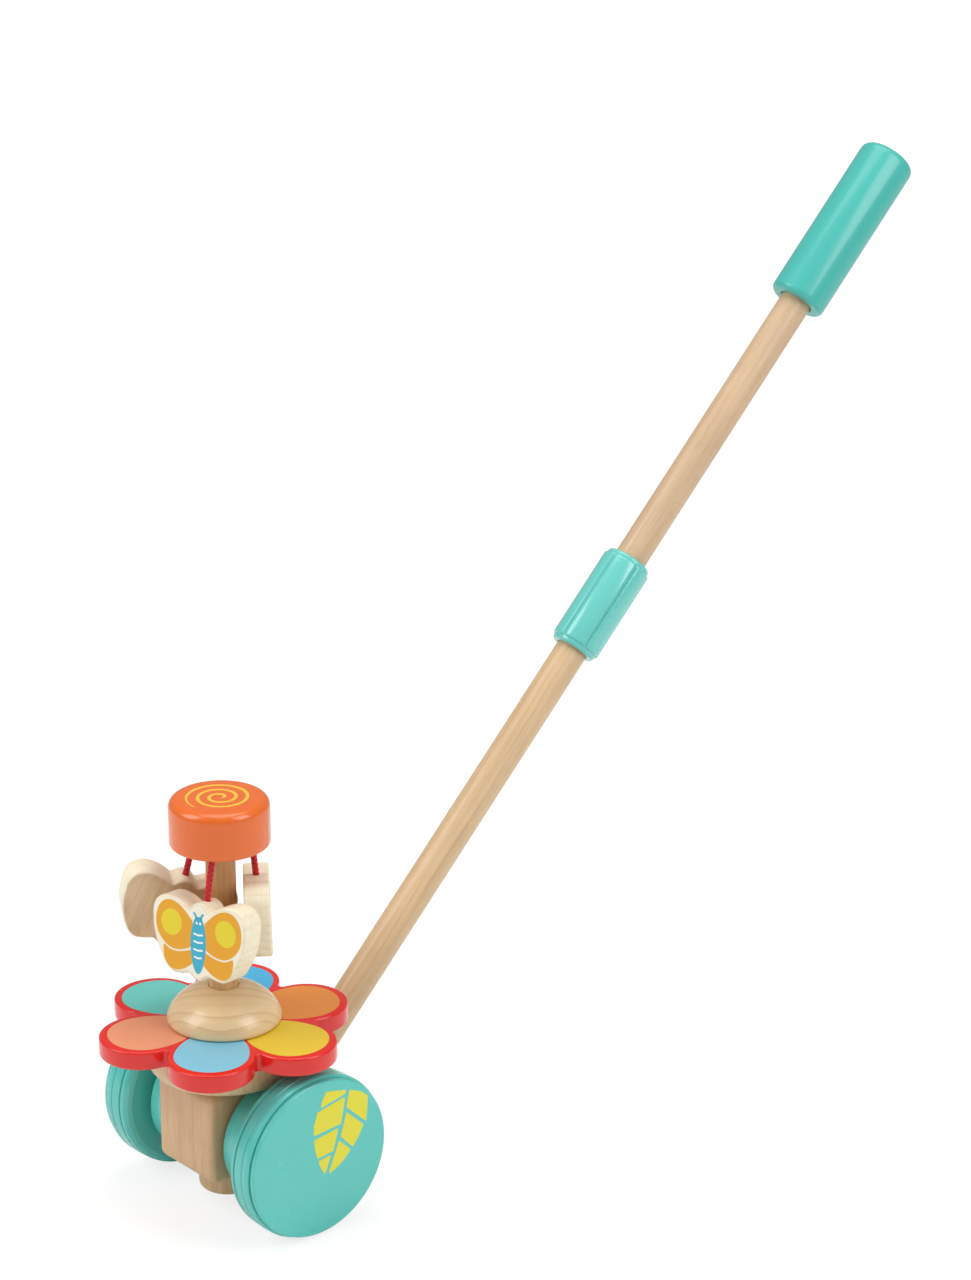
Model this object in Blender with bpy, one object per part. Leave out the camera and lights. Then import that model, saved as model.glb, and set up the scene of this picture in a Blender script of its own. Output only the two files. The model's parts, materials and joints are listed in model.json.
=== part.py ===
"""Push-along flower carousel on a stick.

A child walks behind this wooden toy and pushes it by its long round stick.
Two wheels on one axle carry an upright block, and the stick leans back out of
the block.  A wooden bowl sits on top of the block, over the drum beside the
+X wheel, which turns it by friction.  The bowl carries a six-petal flower
plate, a dome, an upright post and a knob, and three butterflies hang from the
knob on short cords.

Frame: +X along the axle to the driving wheel, -Y the way the toy is pushed,
+Z up.  The origin is on the ground under the middle of the toy's length.
Lengths are in millimetres, and Y values are counted from the axle.  In object
names "right" is the +X side and "left" the -X side, as seen by someone in
front of the toy.
"""

import math

import bmesh
import bpy
from mathutils import Matrix, Vector

MM = 0.001
GAP = 0.3                     # clearance kept between neighbouring pieces
MERGE_DISTANCE = 1e-5
SHARP_ANGLE = math.radians(35)

# ---- driving dimensions -------------------------------------------------------
AXLE_Y = -167.245             # the axle, seen from the middle of the toy's length
WHEEL_R = 37.55
AXLE_Z = WHEEL_R
AXLE_R = 2.5
AXLE_BORE_R = AXLE_R + GAP    # in hubs, wheels, washers and block

SPIN_Y = -9.0                 # carousel axis
PIN_R = 3.0                   # steel pin the carousel turns on
PIN_BORE_R = PIN_R + GAP
POST_R = 6.5
POST_BORE_R = POST_R + GAP

ROD_R = 7.5                   # the stick
ROD_BORE_R = ROD_R + GAP
ROD_LEAN = math.radians(45.07)        # above the horizontal
ROD_Y, ROD_Z = 24.05, 40.0            # a point on the stick's axis

# ---- materials: linear RGB, roughness, metallic ---------------------------------
MATERIALS = {
    "teal": ((0.115, 0.590, 0.510), 0.32, 0.0),
    "orange": ((0.800, 0.175, 0.050), 0.32, 0.0),
    "red": ((0.790, 0.038, 0.035), 0.32, 0.0),
    "rod_wood": ((0.745, 0.527, 0.323), 0.50, 0.0),
    "block_wood": ((0.610, 0.402, 0.231), 0.55, 0.0),
    "pale_wood": ((0.855, 0.745, 0.578), 0.55, 0.0),
    "steel": ((0.620, 0.620, 0.630), 0.30, 1.0),
    "nylon": ((0.800, 0.790, 0.760), 0.45, 0.0),
    "cord": ((0.578, 0.013, 0.021), 0.80, 0.0),
}


def get_material(name):
    found = bpy.data.materials.get(name)
    if found:
        return found
    colour, roughness, metallic = MATERIALS[name]
    material = bpy.data.materials.new(name)
    material.use_nodes = True
    shader = next(n for n in material.node_tree.nodes if n.type == "BSDF_PRINCIPLED")
    shader.inputs["Base Color"].default_value = (*colour, 1.0)
    shader.inputs["Roughness"].default_value = roughness
    shader.inputs["Metallic"].default_value = metallic
    material.diffuse_color = (*colour, 1.0)
    return material


# ---- placing --------------------------------------------------------------------
def place(x, y, z):
    """Place a point whose y is counted from the axle."""
    return Matrix.Translation((x * MM, (y + AXLE_Y) * MM, z * MM))


def axes(x_axis, y_axis, z_axis):
    """Rotation that sends the local axes to the given directions."""
    return Matrix((x_axis, y_axis, z_axis)).transposed().to_4x4()


Z_TO_PLUS_X = axes((0, 1, 0), (0, 0, 1), (1, 0, 0))
Z_TO_MINUS_X = axes((0, -1, 0), (0, 0, 1), (-1, 0, 0))
Z_TO_PLUS_Y = axes((1, 0, 0), (0, 0, -1), (0, 1, 0))
Z_TO_MINUS_Y = axes((1, 0, 0), (0, 0, 1), (0, -1, 0))


def rod_matrix():
    """Local +Z runs up the stick; local +X is the world's +X."""
    along = Vector((0, math.cos(ROD_LEAN), math.sin(ROD_LEAN)))
    across = Vector((1, 0, 0))
    return place(0, ROD_Y, ROD_Z) @ axes(across, along.cross(across), along)


# ---- making objects -----------------------------------------------------------------
def add_to_scene(obj, matrix, parent):
    """Link an object and keep its world placing under its parent."""
    bpy.context.scene.collection.objects.link(obj)
    obj.matrix_world = matrix
    if parent:
        obj.parent = parent
        obj.matrix_parent_inverse = parent.matrix_world.inverted()
        obj.matrix_world = matrix


def pivot(name, matrix, parent=None):
    empty = bpy.data.objects.new(name, None)
    empty.empty_display_size = 0.02
    add_to_scene(empty, matrix, parent)
    bpy.context.view_layer.update()
    return empty


def signed_volume(shell):
    return sum(f.verts[0].co.dot(f.verts[1].co.cross(f.verts[2].co))
               for f in shell.faces) / 6.0


def solid(name, shell, material, matrix, parent=None):
    """Turn a bmesh in millimetres into a named object placed by matrix."""
    bmesh.ops.remove_doubles(shell, verts=shell.verts, dist=MERGE_DISTANCE)
    bmesh.ops.triangulate(shell, faces=shell.faces)
    if signed_volume(shell) < 0:
        bmesh.ops.reverse_faces(shell, faces=shell.faces)
    bmesh.ops.scale(shell, vec=(MM, MM, MM), verts=shell.verts)
    mesh = bpy.data.meshes.new(name)
    shell.to_mesh(mesh)
    shell.free()
    mesh.materials.append(get_material(material))
    mesh.shade_smooth()
    mesh.set_sharp_from_angle(angle=SHARP_ANGLE)
    obj = bpy.data.objects.new(name, mesh)
    add_to_scene(obj, matrix, parent)
    return obj


def skin(loops, closed):
    """Join a list of point loops, each to the next.

    Closed joins the last loop back to the first; otherwise both ends are
    capped.  A loop of one point is a pole."""
    shell = bmesh.new()
    rings = [[shell.verts.new(point) for point in loop] for loop in loops]
    if closed:
        rings.append(rings[0])
    else:
        shell.faces.new(list(reversed(rings[0])))
        shell.faces.new(rings[-1])
    for ring, after in zip(rings, rings[1:]):
        for k in range(max(len(ring), len(after))):
            corners = dict.fromkeys((ring[k % len(ring)], ring[(k + 1) % len(ring)],
                                     after[(k + 1) % len(after)], after[k % len(after)]))
            if len(corners) > 2:      # two poles in a row have no face between them
                shell.faces.new(tuple(corners))
    return shell


def lathe(profile, segments):
    """Spin a closed (radius, height) outline about +Z."""
    turns = [2 * math.pi * k / segments for k in range(segments)]
    loops = [[(radius * math.cos(turn), radius * math.sin(turn), z)
              for turn in (turns if radius > 0 else turns[:1])]
             for radius, z in profile]
    return skin(loops, closed=True)


def cut(obj, name, profile, matrix, segments=24):
    """Cut a turned shape out of obj with a hidden helper object."""
    tool = solid(name, lathe(profile, segments), "nylon", matrix)
    tool.hide_render = True
    tool.display_type = "WIRE"
    modifier = obj.modifiers.new("cut_" + tool.name, "BOOLEAN")
    modifier.operation = "DIFFERENCE"
    modifier.solver = "EXACT"
    modifier.object = tool


# ---- (radius, height) outlines shared by the turned pieces ------------------------------
def arc(centre_r, centre_z, radius, start, end, steps):
    """steps + 1 points of an arc, angles in degrees."""
    angles = [math.radians(start + (end - start) * i / steps) for i in range(steps + 1)]
    return [(centre_r + radius * math.cos(angle), centre_z + radius * math.sin(angle))
            for angle in angles]


def lower_edge(radius, z, rounding, steps):
    """Rounded outer edge at the bottom of a turned piece."""
    return arc(radius - rounding, z + rounding, rounding, -90, 0, steps)


def upper_edge(radius, z, rounding, steps):
    """Rounded outer edge at the top of a turned piece."""
    return arc(radius - rounding, z - rounding, rounding, 0, 90, steps)


def peg(radius, z0, z1):
    return [(0, z0), (radius, z0), (radius, z1), (0, z1)]


def chamfered_peg(radius, z0, z1, chamfer0, chamfer1):
    return [(0, z0), (radius - chamfer0, z0), (radius, z0 + chamfer0),
            (radius, z1 - chamfer1), (radius - chamfer1, z1), (0, z1)]


def washer_profile(bore, radius, z0, z1):
    chamfer = min(0.2, (z1 - z0) / 4)
    return [(bore, z0), (radius - chamfer, z0), (radius, z0 + chamfer),
            (radius, z1 - chamfer), (radius - chamfer, z1), (bore, z1)]


# ---- block ------------------------------------------------------------------------------
BLOCK_HALF_X = 19.4
BLOCK_Y0, BLOCK_Y1 = -32.2, 34.0
BLOCK_Z0, BLOCK_Z1 = 20.6, 64.0
BLOCK_CORNER = 5.0            # rounding of the side outline
BLOCK_EDGE = 3.0              # rounding of the rims of both side faces
CORNER_STEPS = 3
EDGE_STEPS = 3
BLOCK_PIN_BORE_R = PIN_R + 0.4

ROD_S0 = -6.0                 # start of the stick inside the block
ROD_END_GAP = 0.6             # free space past each end of the stick's parts

SCREW_Y = 24.0                # screw that pins the stick, behind the axle
SCREW_TOP = 38.5
SCREW_HEAD_R, SCREW_SHANK_R = 3.3, 1.4
SCREW_BORE_R = SCREW_SHANK_R + GAP
SCREW_HEAD_BORE_R = SCREW_HEAD_R + GAP


def block_outline(inset):
    """Y-Z outline with rounded corners, moved inwards by inset."""
    corner = BLOCK_CORNER - inset
    y0, y1 = BLOCK_Y0 + BLOCK_CORNER, BLOCK_Y1 - BLOCK_CORNER
    z0, z1 = BLOCK_Z0 + BLOCK_CORNER, BLOCK_Z1 - BLOCK_CORNER
    points = []
    for y, z, start in ((y1, z1, 0), (y0, z1, 90), (y0, z0, 180), (y1, z0, 270)):
        points += arc(y, z, corner, start, start + 90, CORNER_STEPS)
    return points


def block_mesh():
    stations = []             # x, inset of the outline
    for i in range(EDGE_STEPS + 1):
        angle = math.radians(90 * (1 - i / EDGE_STEPS))
        stations.append((-BLOCK_HALF_X + BLOCK_EDGE * (1 - math.sin(angle)),
                         BLOCK_EDGE * (1 - math.cos(angle))))
    stations += [(-x, inset) for x, inset in reversed(stations)]
    return skin([[(x, y, z) for y, z in block_outline(inset)] for x, inset in stations],
                closed=False)


def build_block(chassis):
    """Block with bores for the axle, the pin, the stick and the screw."""
    block = solid("axle_block", block_mesh(), "block_wood", place(0, 0, 0), chassis)
    screw_bore = [(0, 15), (SCREW_HEAD_BORE_R, 15), (SCREW_HEAD_BORE_R, 22.2),
                  (SCREW_BORE_R, 24.2), (SCREW_BORE_R, 45.0), (0, 45.0)]
    cut(block, "cut_axle", peg(AXLE_BORE_R, -30, 30), place(0, 0, AXLE_Z) @ Z_TO_PLUS_X)
    cut(block, "cut_pin", peg(BLOCK_PIN_BORE_R, 15, 70), place(0, SPIN_Y, 0))
    cut(block, "cut_rod", peg(ROD_BORE_R, ROD_S0 - ROD_END_GAP, 40), rod_matrix(), 32)
    cut(block, "cut_screw", screw_bore, place(0, SCREW_Y, 0))


# ---- wheelset: X distances from the middle of the axle --------------------------------------
HUB_X0, HUB_X1, HUB_NECK_X1 = 21.0, 33.0, 36.5
HUB_NECK_R = 22.0
HUB_CHAMFER = 1.0
DRIVE_DRUM_R = 27.45          # +X drum, turns the bowl
IDLE_DRUM_R = 26.8            # -X drum, stays further below the bowl
WHEEL_X0, WHEEL_X1 = HUB_NECK_X1 + GAP, 51.4
COVER_X0 = WHEEL_X1 + GAP
COVER_X1 = COVER_X0 + 2.5
COVER_R = 36.3
COVER_ROUNDING = 1.5
AXLE_HALF = COVER_X0 - 0.7    # the axle ends behind the covers
AXLE_CHAMFER = 0.4
AXLE_WASHER_R = 7.0
AXLE_WASHER_GAP = 0.25        # on each side of the washer


def hub_profile(drum_r):
    """Drum with a narrower neck towards the wheel."""
    return [(AXLE_BORE_R, HUB_X0), (drum_r - HUB_CHAMFER, HUB_X0),
            (drum_r, HUB_X0 + HUB_CHAMFER), (drum_r, HUB_X1 - HUB_CHAMFER),
            (drum_r - HUB_CHAMFER, HUB_X1), (HUB_NECK_R, HUB_X1),
            (HUB_NECK_R, HUB_NECK_X1), (AXLE_BORE_R, HUB_NECK_X1)]


def wheel_profile():
    """Tread with a rounded inner edge and a shallow groove beside it."""
    return [(AXLE_BORE_R, WHEEL_X0), (33.6, WHEEL_X0), (35.3, 37.6), (36.6, 39.1),
            (37.2, 41.0), (36.3, 41.4), (36.3, 41.8), (37.25, 42.2),
            (WHEEL_R, 46.0), (WHEEL_R, 49.6), (37.0, WHEEL_X1), (AXLE_BORE_R, WHEEL_X1)]


def cover_profile():
    """Round face disc that hides the axle's end."""
    round_x = COVER_X1 - COVER_ROUNDING
    return [(0, COVER_X0), (COVER_R, COVER_X0), (COVER_R, round_x),
            *arc(COVER_R - COVER_ROUNDING, round_x, COVER_ROUNDING, 30, 90, 2),
            (0, COVER_X1)]


def build_wheelset(wheelset):
    middle = place(0, 0, AXLE_Z)
    axle = chamfered_peg(AXLE_R, -AXLE_HALF, AXLE_HALF, AXLE_CHAMFER, AXLE_CHAMFER)
    solid("axle", lathe(axle, 16), "steel", middle @ Z_TO_PLUS_X, wheelset)
    washer = washer_profile(AXLE_BORE_R, AXLE_WASHER_R, BLOCK_HALF_X + AXLE_WASHER_GAP,
                            HUB_X0 - AXLE_WASHER_GAP)
    for side, outwards, drum_r in (("right", Z_TO_PLUS_X, DRIVE_DRUM_R),
                                   ("left", Z_TO_MINUS_X, IDLE_DRUM_R)):
        for name, profile, segments, material in (
                ("axle_washer_", washer, 20, "nylon"),
                ("hub_", hub_profile(drum_r), 48, "teal"),
                ("wheel_", wheel_profile(), 48, "teal"),
                ("wheel_cover_", cover_profile(), 48, "teal")):
            solid(name + side, lathe(profile, segments), material, middle @ outwards, wheelset)


# ---- carousel -----------------------------------------------------------------------------
CAP_R, CAP_Z0, CAP_Z1 = 12.95, 7.0, 20.3
CAP_FLOOR_Z = 8.2             # bottom of the cap's socket for the pin
PIN_Z0, PIN_Z1 = CAP_FLOOR_Z + GAP, 105.6
THRUST_WASHER_R = 9.0
BOWL_Z0 = AXLE_Z + DRIVE_DRUM_R + GAP
BOWL_Z1 = 79.3

PLATE_Z0, PLATE_Z1 = BOWL_Z1 + GAP, 88.0
PLATE_EDGE = 0.7              # chamfer of the plate's rims
PETAL_R = 18.75               # radius of each petal's round end
PETAL_TIP = 56.8              # petal tip from the carousel axis
PETAL_PHASE = 14.17           # azimuth of the first petal, degrees
PETAL_STEPS, NOTCH_STEPS = 9, 3
NOTCH_R = 39.3                # bottom of the notch between two petals

DOME_R, DOME_Z0, DOME_HEIGHT = 25.2, PLATE_Z1 + GAP, 16.8
DOME_HEIGHT_POWER, DOME_RADIUS_POWER = 1.9, 0.56      # shape of the dome's curve
DOME_STEPS = 7

KNOB_R, KNOB_Z0, KNOB_Z1 = 21.84, 170.85, 192.08
KNOB_SOCKET_Z = KNOB_Z0 + 16
POST_Z0 = DOME_Z0 + 0.05
POST_Z1 = KNOB_Z0 + 15.6
POST_CHAMFER = 1.0
POST_SOCKET_Z = 106.0         # top of the post's socket for the pin


def cap_profile():
    """Cup under the block that holds the pin's lower end."""
    return [(0, CAP_Z0), *lower_edge(CAP_R, CAP_Z0, 3, 4), *upper_edge(CAP_R, CAP_Z1, 1, 2),
            (PIN_BORE_R, CAP_Z1), (PIN_BORE_R, CAP_FLOOR_Z), (0, CAP_FLOOR_Z)]


def pin_profile():
    return [(0, PIN_Z0), (PIN_R - 0.5, PIN_Z0), (PIN_R, PIN_Z0 + 0.5),
            (PIN_R, PIN_Z1 - 0.6), (PIN_R - 0.5, PIN_Z1), (0, PIN_Z1)]


def bowl_profile():
    return [(PIN_BORE_R, BOWL_Z0), (29.6, BOWL_Z0), (30.6, 66.0), (32.0, 68.0), (33.6, 70.5),
            (34.7, 73.0), (35.2, 76.0), (35.2, BOWL_Z1 - 0.6), (34.7, BOWL_Z1),
            (PIN_BORE_R, BOWL_Z1)]


def flower_outline(inset):
    """Six petals, anticlockwise: round ends joined by fillets in the notches."""
    petal_centre = PETAL_TIP - PETAL_R
    half = math.radians(30)
    # The fillet's centre lies on the line between two petals, outside the
    # plate.  Its circle passes through the notch bottom and touches both petals.
    depth = PETAL_R - NOTCH_R
    fillet_centre = ((petal_centre ** 2 - depth ** 2)
                     / (2 * (depth + petal_centre * math.cos(half))))
    fillet_r = fillet_centre - NOTCH_R
    meet = math.atan2(fillet_centre * math.sin(half),
                      fillet_centre * math.cos(half) - petal_centre)

    def polar(distance, azimuth, radius, angle):
        """Point on a circle whose centre is given by distance and azimuth."""
        return (distance * math.cos(azimuth) + radius * math.cos(angle),
                distance * math.sin(azimuth) + radius * math.sin(angle))

    points = []
    for k in range(6):
        base = math.radians(PETAL_PHASE + 60 * k)
        for i in range(PETAL_STEPS + 1):
            angle = base - meet + 2 * meet * i / PETAL_STEPS
            points.append(polar(petal_centre, base, PETAL_R - inset, angle))
        for i in range(1, NOTCH_STEPS):
            angle = base + meet + math.pi - 2 * (meet - half) * i / NOTCH_STEPS
            points.append(polar(fillet_centre, base + half, fillet_r + inset, angle))
    return points


def plate_mesh():
    outer, rim = flower_outline(0.0), flower_outline(PLATE_EDGE)
    azimuths = [math.atan2(y, x) for x, y in rim]
    bore = [(PIN_BORE_R * math.cos(a), PIN_BORE_R * math.sin(a)) for a in azimuths]
    stations = ((rim, PLATE_Z0), (outer, PLATE_Z0 + PLATE_EDGE), (outer, PLATE_Z1 - PLATE_EDGE),
                (rim, PLATE_Z1), (bore, PLATE_Z1), (bore, PLATE_Z0))
    return skin([[(x, y, z) for x, y in points] for points, z in stations], closed=True)


def dome_profile():
    """A flat-topped half egg with a bore for the post."""
    points = [(POST_BORE_R, DOME_Z0), (DOME_R - 0.8, DOME_Z0), (DOME_R - 0.1, DOME_Z0 + 0.6)]
    for i in range(1, DOME_STEPS + 1):
        rise = math.sin(math.pi / 2 * i / (DOME_STEPS + 0.6))
        radius = DOME_R * (1 - rise ** DOME_HEIGHT_POWER) ** DOME_RADIUS_POWER
        if radius > POST_BORE_R + 0.8:
            points.append((radius, DOME_Z0 + DOME_HEIGHT * rise))
    bore_share = (POST_BORE_R / DOME_R) ** (1 / DOME_RADIUS_POWER)
    top = DOME_HEIGHT * (1 - bore_share) ** (1 / DOME_HEIGHT_POWER)
    return points + [(POST_BORE_R, DOME_Z0 + top)]


def post_profile():
    return [(PIN_BORE_R, POST_Z0), (POST_R, POST_Z0), (POST_R, POST_Z1 - POST_CHAMFER),
            (POST_R - POST_CHAMFER, POST_Z1), (0, POST_Z1), (0, POST_SOCKET_Z),
            (PIN_BORE_R, POST_SOCKET_Z)]


def knob_profile():
    return [(POST_BORE_R, KNOB_Z0), *lower_edge(KNOB_R, KNOB_Z0, 1.5, 2),
            *upper_edge(KNOB_R, KNOB_Z1, 4, 4),
            (0, KNOB_Z1), (0, KNOB_SOCKET_Z), (POST_BORE_R, KNOB_SOCKET_Z)]


def build_carousel(chassis, carousel):
    """Build what stands on the carousel axis and return the knob."""
    spin = place(0, SPIN_Y, 0)
    washer = washer_profile(PIN_BORE_R, THRUST_WASHER_R, BLOCK_Z1 + GAP, BOWL_Z0 - GAP)
    solid("bottom_cap", lathe(cap_profile(), 28), "pale_wood", spin, carousel)
    solid("pivot_pin", lathe(pin_profile(), 16), "steel", spin, carousel)
    solid("thrust_washer", lathe(washer, 24), "nylon", spin, chassis)
    solid("friction_disc", lathe(bowl_profile(), 48), "pale_wood", spin, carousel)
    solid("flower_plate", plate_mesh(), "red", spin, carousel)
    solid("dome", lathe(dome_profile(), 40), "rod_wood", spin, carousel)
    solid("post", lathe(post_profile(), 24), "rod_wood", spin, carousel)
    return solid("knob", lathe(knob_profile(), 40), "orange", spin, carousel)


# ---- cords and butterflies --------------------------------------------------------------------
CORD_R = 1.35
CORD_PIVOT_Z = KNOB_Z0 + 0.35     # cord pivots just inside the knob's holes
CORD_HOLE_DISTANCE = 14.2         # cord holes from the carousel axis
CORD_HOLE_R = 2.6
WING_THICKNESS = 11.3
WING_CHAMFER = 0.6
WING_POINTS = 60
HEAD_HEIGHT = 18.0                # head top above the butterfly's middle
HEAD_HOLE_DEPTH = 8.0

# Hole azimuth; lean of the cord towards +X and +Y; hole to butterfly's head;
# lean of the butterfly towards +X and +Y; azimuth of the butterfly's face.
# Degrees and millimetres.
BUTTERFLIES = (
    (310.5, (1.71, -11.38), 20.3, (4.91, -6.36), 284.3),
    (70.5, (1.12, 5.36), 18.0, (8.61, -4.84), 53.0),
    (190.5, (-13.55, -6.40), 20.65, (-18.27, -10.96), 154.4),
)

# The wing outline is the far side of these ellipses and their mirror images:
# centre across, centre up, half length, half width, tilt in radians.
WING_ELLIPSES = (
    (8.52, 2.10, 20.55, 12.08, 0.78),
    (8.89, -5.44, 11.05, 8.69, -0.50),
    (0.00, 1.05, 9.15, 17.31, 0.0),
    (17.67, -2.41, 5.00, 13.70, -0.44),
)


def ellipse_reach(angle, centre_x, centre_y, half_length, half_width, tilt):
    """Distance from the middle to the far side of one ellipse, 0 if missed."""
    cos_tilt, sin_tilt = math.cos(tilt), math.sin(tilt)

    def to_unit_circle(x, y):
        return ((cos_tilt * x + sin_tilt * y) / half_length,
                (-sin_tilt * x + cos_tilt * y) / half_width)

    ray_x, ray_y = to_unit_circle(math.cos(angle), math.sin(angle))
    start_x, start_y = to_unit_circle(-centre_x, -centre_y)
    square = ray_x ** 2 + ray_y ** 2
    linear = 2 * (start_x * ray_x + start_y * ray_y)
    constant = start_x ** 2 + start_y ** 2 - 1
    discriminant = linear ** 2 - 4 * square * constant
    if discriminant <= 0:
        return 0.0
    return (-linear + math.sqrt(discriminant)) / (2 * square)


def butterfly_outline():
    count = WING_POINTS
    angles = [2 * math.pi * i / count for i in range(count)]
    radii = [max(ellipse_reach(angle, side * x, y, half_length, half_width, side * tilt)
                 for x, y, half_length, half_width, tilt in WING_ELLIPSES
                 for side in (1, -1))
             for angle in angles]
    for _ in range(2):        # soften the corners where ellipses cross
        radii = [(radii[i - 1] + 2 * radii[i] + radii[(i + 1) % count]) / 4
                 for i in range(count)]
    return [(radius * math.cos(angle), radius * math.sin(angle))
            for radius, angle in zip(radii, angles)]


def shrink(points, distance):
    """Move each point inwards, square to the line between its neighbours."""
    shrunk = []
    for i, (x, y) in enumerate(points):
        before, after = points[i - 1], points[(i + 1) % len(points)]
        run, rise = after[0] - before[0], after[1] - before[1]
        length = math.hypot(run, rise)
        shrunk.append((x - distance * rise / length, y + distance * run / length))
    return shrunk


def butterfly_mesh():
    outer = butterfly_outline()
    rim = shrink(outer, WING_CHAMFER)
    half = WING_THICKNESS / 2
    stations = ((rim, -half), (outer, -half + WING_CHAMFER), (outer, half - WING_CHAMFER),
                (rim, half))
    return skin([[(x, y, z) for x, y in points] for points, z in stations], closed=False)


def cord_profile(length):
    """Cord with a ball end at its pivot, spun about the way down."""
    ball = [(CORD_R * math.sin(math.radians(a)), -CORD_R * math.cos(math.radians(a)))
            for a in (0, 30, 60, 90)]
    return ball + [(CORD_R, length - 0.4), (CORD_R - 0.4, length), (0, length)]


def hanging_axes(lean, face):
    """Axes of something that hangs with a lean and faces azimuth face.

    The lean is towards +X and +Y, in degrees.  Local X runs across, local Y
    up and local Z out of the face."""
    lean_x, lean_y = math.radians(lean[0]), math.radians(lean[1])
    tilt, azimuth = math.hypot(lean_x, lean_y), math.atan2(lean_y, lean_x)
    up = -Vector((math.sin(tilt) * math.cos(azimuth), math.sin(tilt) * math.sin(azimuth),
                  -math.cos(tilt)))
    out = Vector((math.cos(math.radians(face)), math.sin(math.radians(face)), 0.0))
    out = (out - up * out.dot(up)).normalized()
    return up.cross(out), up, out


def hang_butterfly(number, butterfly, carousel, knob):
    hole_azimuth, cord_lean, length, wing_lean, face = butterfly
    azimuth = math.radians(hole_azimuth)
    top = Vector((CORD_HOLE_DISTANCE * math.cos(azimuth),
                  SPIN_Y + CORD_HOLE_DISTANCE * math.sin(azimuth), CORD_PIVOT_Z))
    cord_axes = hanging_axes(cord_lean, face)
    wing_axes = hanging_axes(wing_lean, face)
    middle = top - cord_axes[1] * length - wing_axes[1] * HEAD_HEIGHT
    cut(knob, f"cut_cord_{number}", peg(CORD_HOLE_R, KNOB_Z0 - 3, KNOB_Z0 + 9),
        place(top.x, top.y, 0), 16)

    cord_matrix = place(*top) @ axes(*cord_axes)
    hanger = pivot(f"cord_{number}_axis", cord_matrix, carousel)
    cord_end = length + HEAD_HOLE_DEPTH - 0.6
    solid(f"cord_{number}", lathe(cord_profile(cord_end), 10), "cord",
          cord_matrix @ Z_TO_MINUS_Y, hanger)
    wing = solid(f"butterfly_{number}", butterfly_mesh(), "pale_wood",
                 place(*middle) @ axes(*wing_axes), hanger)
    # the hole in the head follows the cord
    cut(wing, f"cut_head_{number}", peg(CORD_R + GAP, -length - HEAD_HOLE_DEPTH, -length + 6),
        cord_matrix @ Z_TO_PLUS_Y, 16)


# ---- stick: S values are distances up the stick's axis ---------------------------------------------
LOWER_S1 = 264.0                      # the lower stick ends inside the collar
UPPER_S0, UPPER_S1 = LOWER_S1 + ROD_END_GAP, 498.0
ROD_CHAMFER = 0.6
COLLAR_HALF, RIB_HALF = 24.8, 22.5    # half lengths, about the lower stick's end
COLLAR_R, RIB_R = 10.7, 11.65
GROOVE_PHASE = 37.0                   # first groove, degrees round the stick
GROOVE_HALF_ANGLE = 0.8 / RIB_R       # radians
GROOVE_WALL_ANGLE = 0.001             # turn between a groove wall's top and foot, radians
RIB_STEPS = 4
GRIP_S0, GRIP_S1, GRIP_R = 435.0, 519.5, 13.4


def collar_mesh():
    """Sleeve with six broad ribs parted by narrow grooves."""
    half = GROOVE_HALF_ANGLE
    foot = half - GROOVE_WALL_ANGLE
    rib_step = (math.radians(60) - 2 * half) / RIB_STEPS
    columns = []              # angle, is it on a rib
    for k in range(6):
        groove = math.radians(GROOVE_PHASE + 60 * k)
        columns += [(groove - half, True), (groove - foot, False),
                    (groove + foot, False), (groove + half, True)]
        columns += [(groove + half + rib_step * i, True) for i in range(1, RIB_STEPS)]

    # distance from the collar's middle, radius at ribs, radius at grooves
    end_half = [(COLLAR_HALF, ROD_BORE_R, ROD_BORE_R),
                (COLLAR_HALF, COLLAR_R - 1.0, COLLAR_R - 1.0),
                (COLLAR_HALF - 1.2, COLLAR_R, COLLAR_R),
                (RIB_HALF, COLLAR_R, COLLAR_R),
                (RIB_HALF - 0.9, RIB_R, COLLAR_R)]
    stations = [(LOWER_S1 - distance, *radii) for distance, *radii in end_half]
    stations += [(LOWER_S1 + distance, *radii) for distance, *radii in reversed(end_half)]
    loops = []
    for along, rib_r, groove_r in stations:
        loops.append([((rib_r if on_rib else groove_r) * math.cos(angle),
                       (rib_r if on_rib else groove_r) * math.sin(angle), along)
                      for angle, on_rib in columns])
    return skin(loops, closed=True)


def grip_profile():
    """Turned handle with rounded ends, a recessed mouth where the stick
    enters and a blind socket for the stick's end."""
    socket_end = UPPER_S1 + ROD_END_GAP
    return [(ROD_BORE_R, GRIP_S0 + 1.2), (ROD_BORE_R + 1.3, GRIP_S0),
            *lower_edge(GRIP_R, GRIP_S0, 3, 3), *upper_edge(GRIP_R, GRIP_S1, 4, 4),
            (0, GRIP_S1), (0, socket_end), (ROD_BORE_R, socket_end)]


def screw_profile():
    """Countersunk screw, its head just inside the block's underside."""
    return [(0, 21.0), (SCREW_HEAD_R - 0.1, 21.0), (SCREW_HEAD_R, 21.4), (SCREW_HEAD_R, 21.9),
            (SCREW_SHANK_R, 24.0), (SCREW_SHANK_R, SCREW_TOP - 3), (0, SCREW_TOP)]


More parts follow.
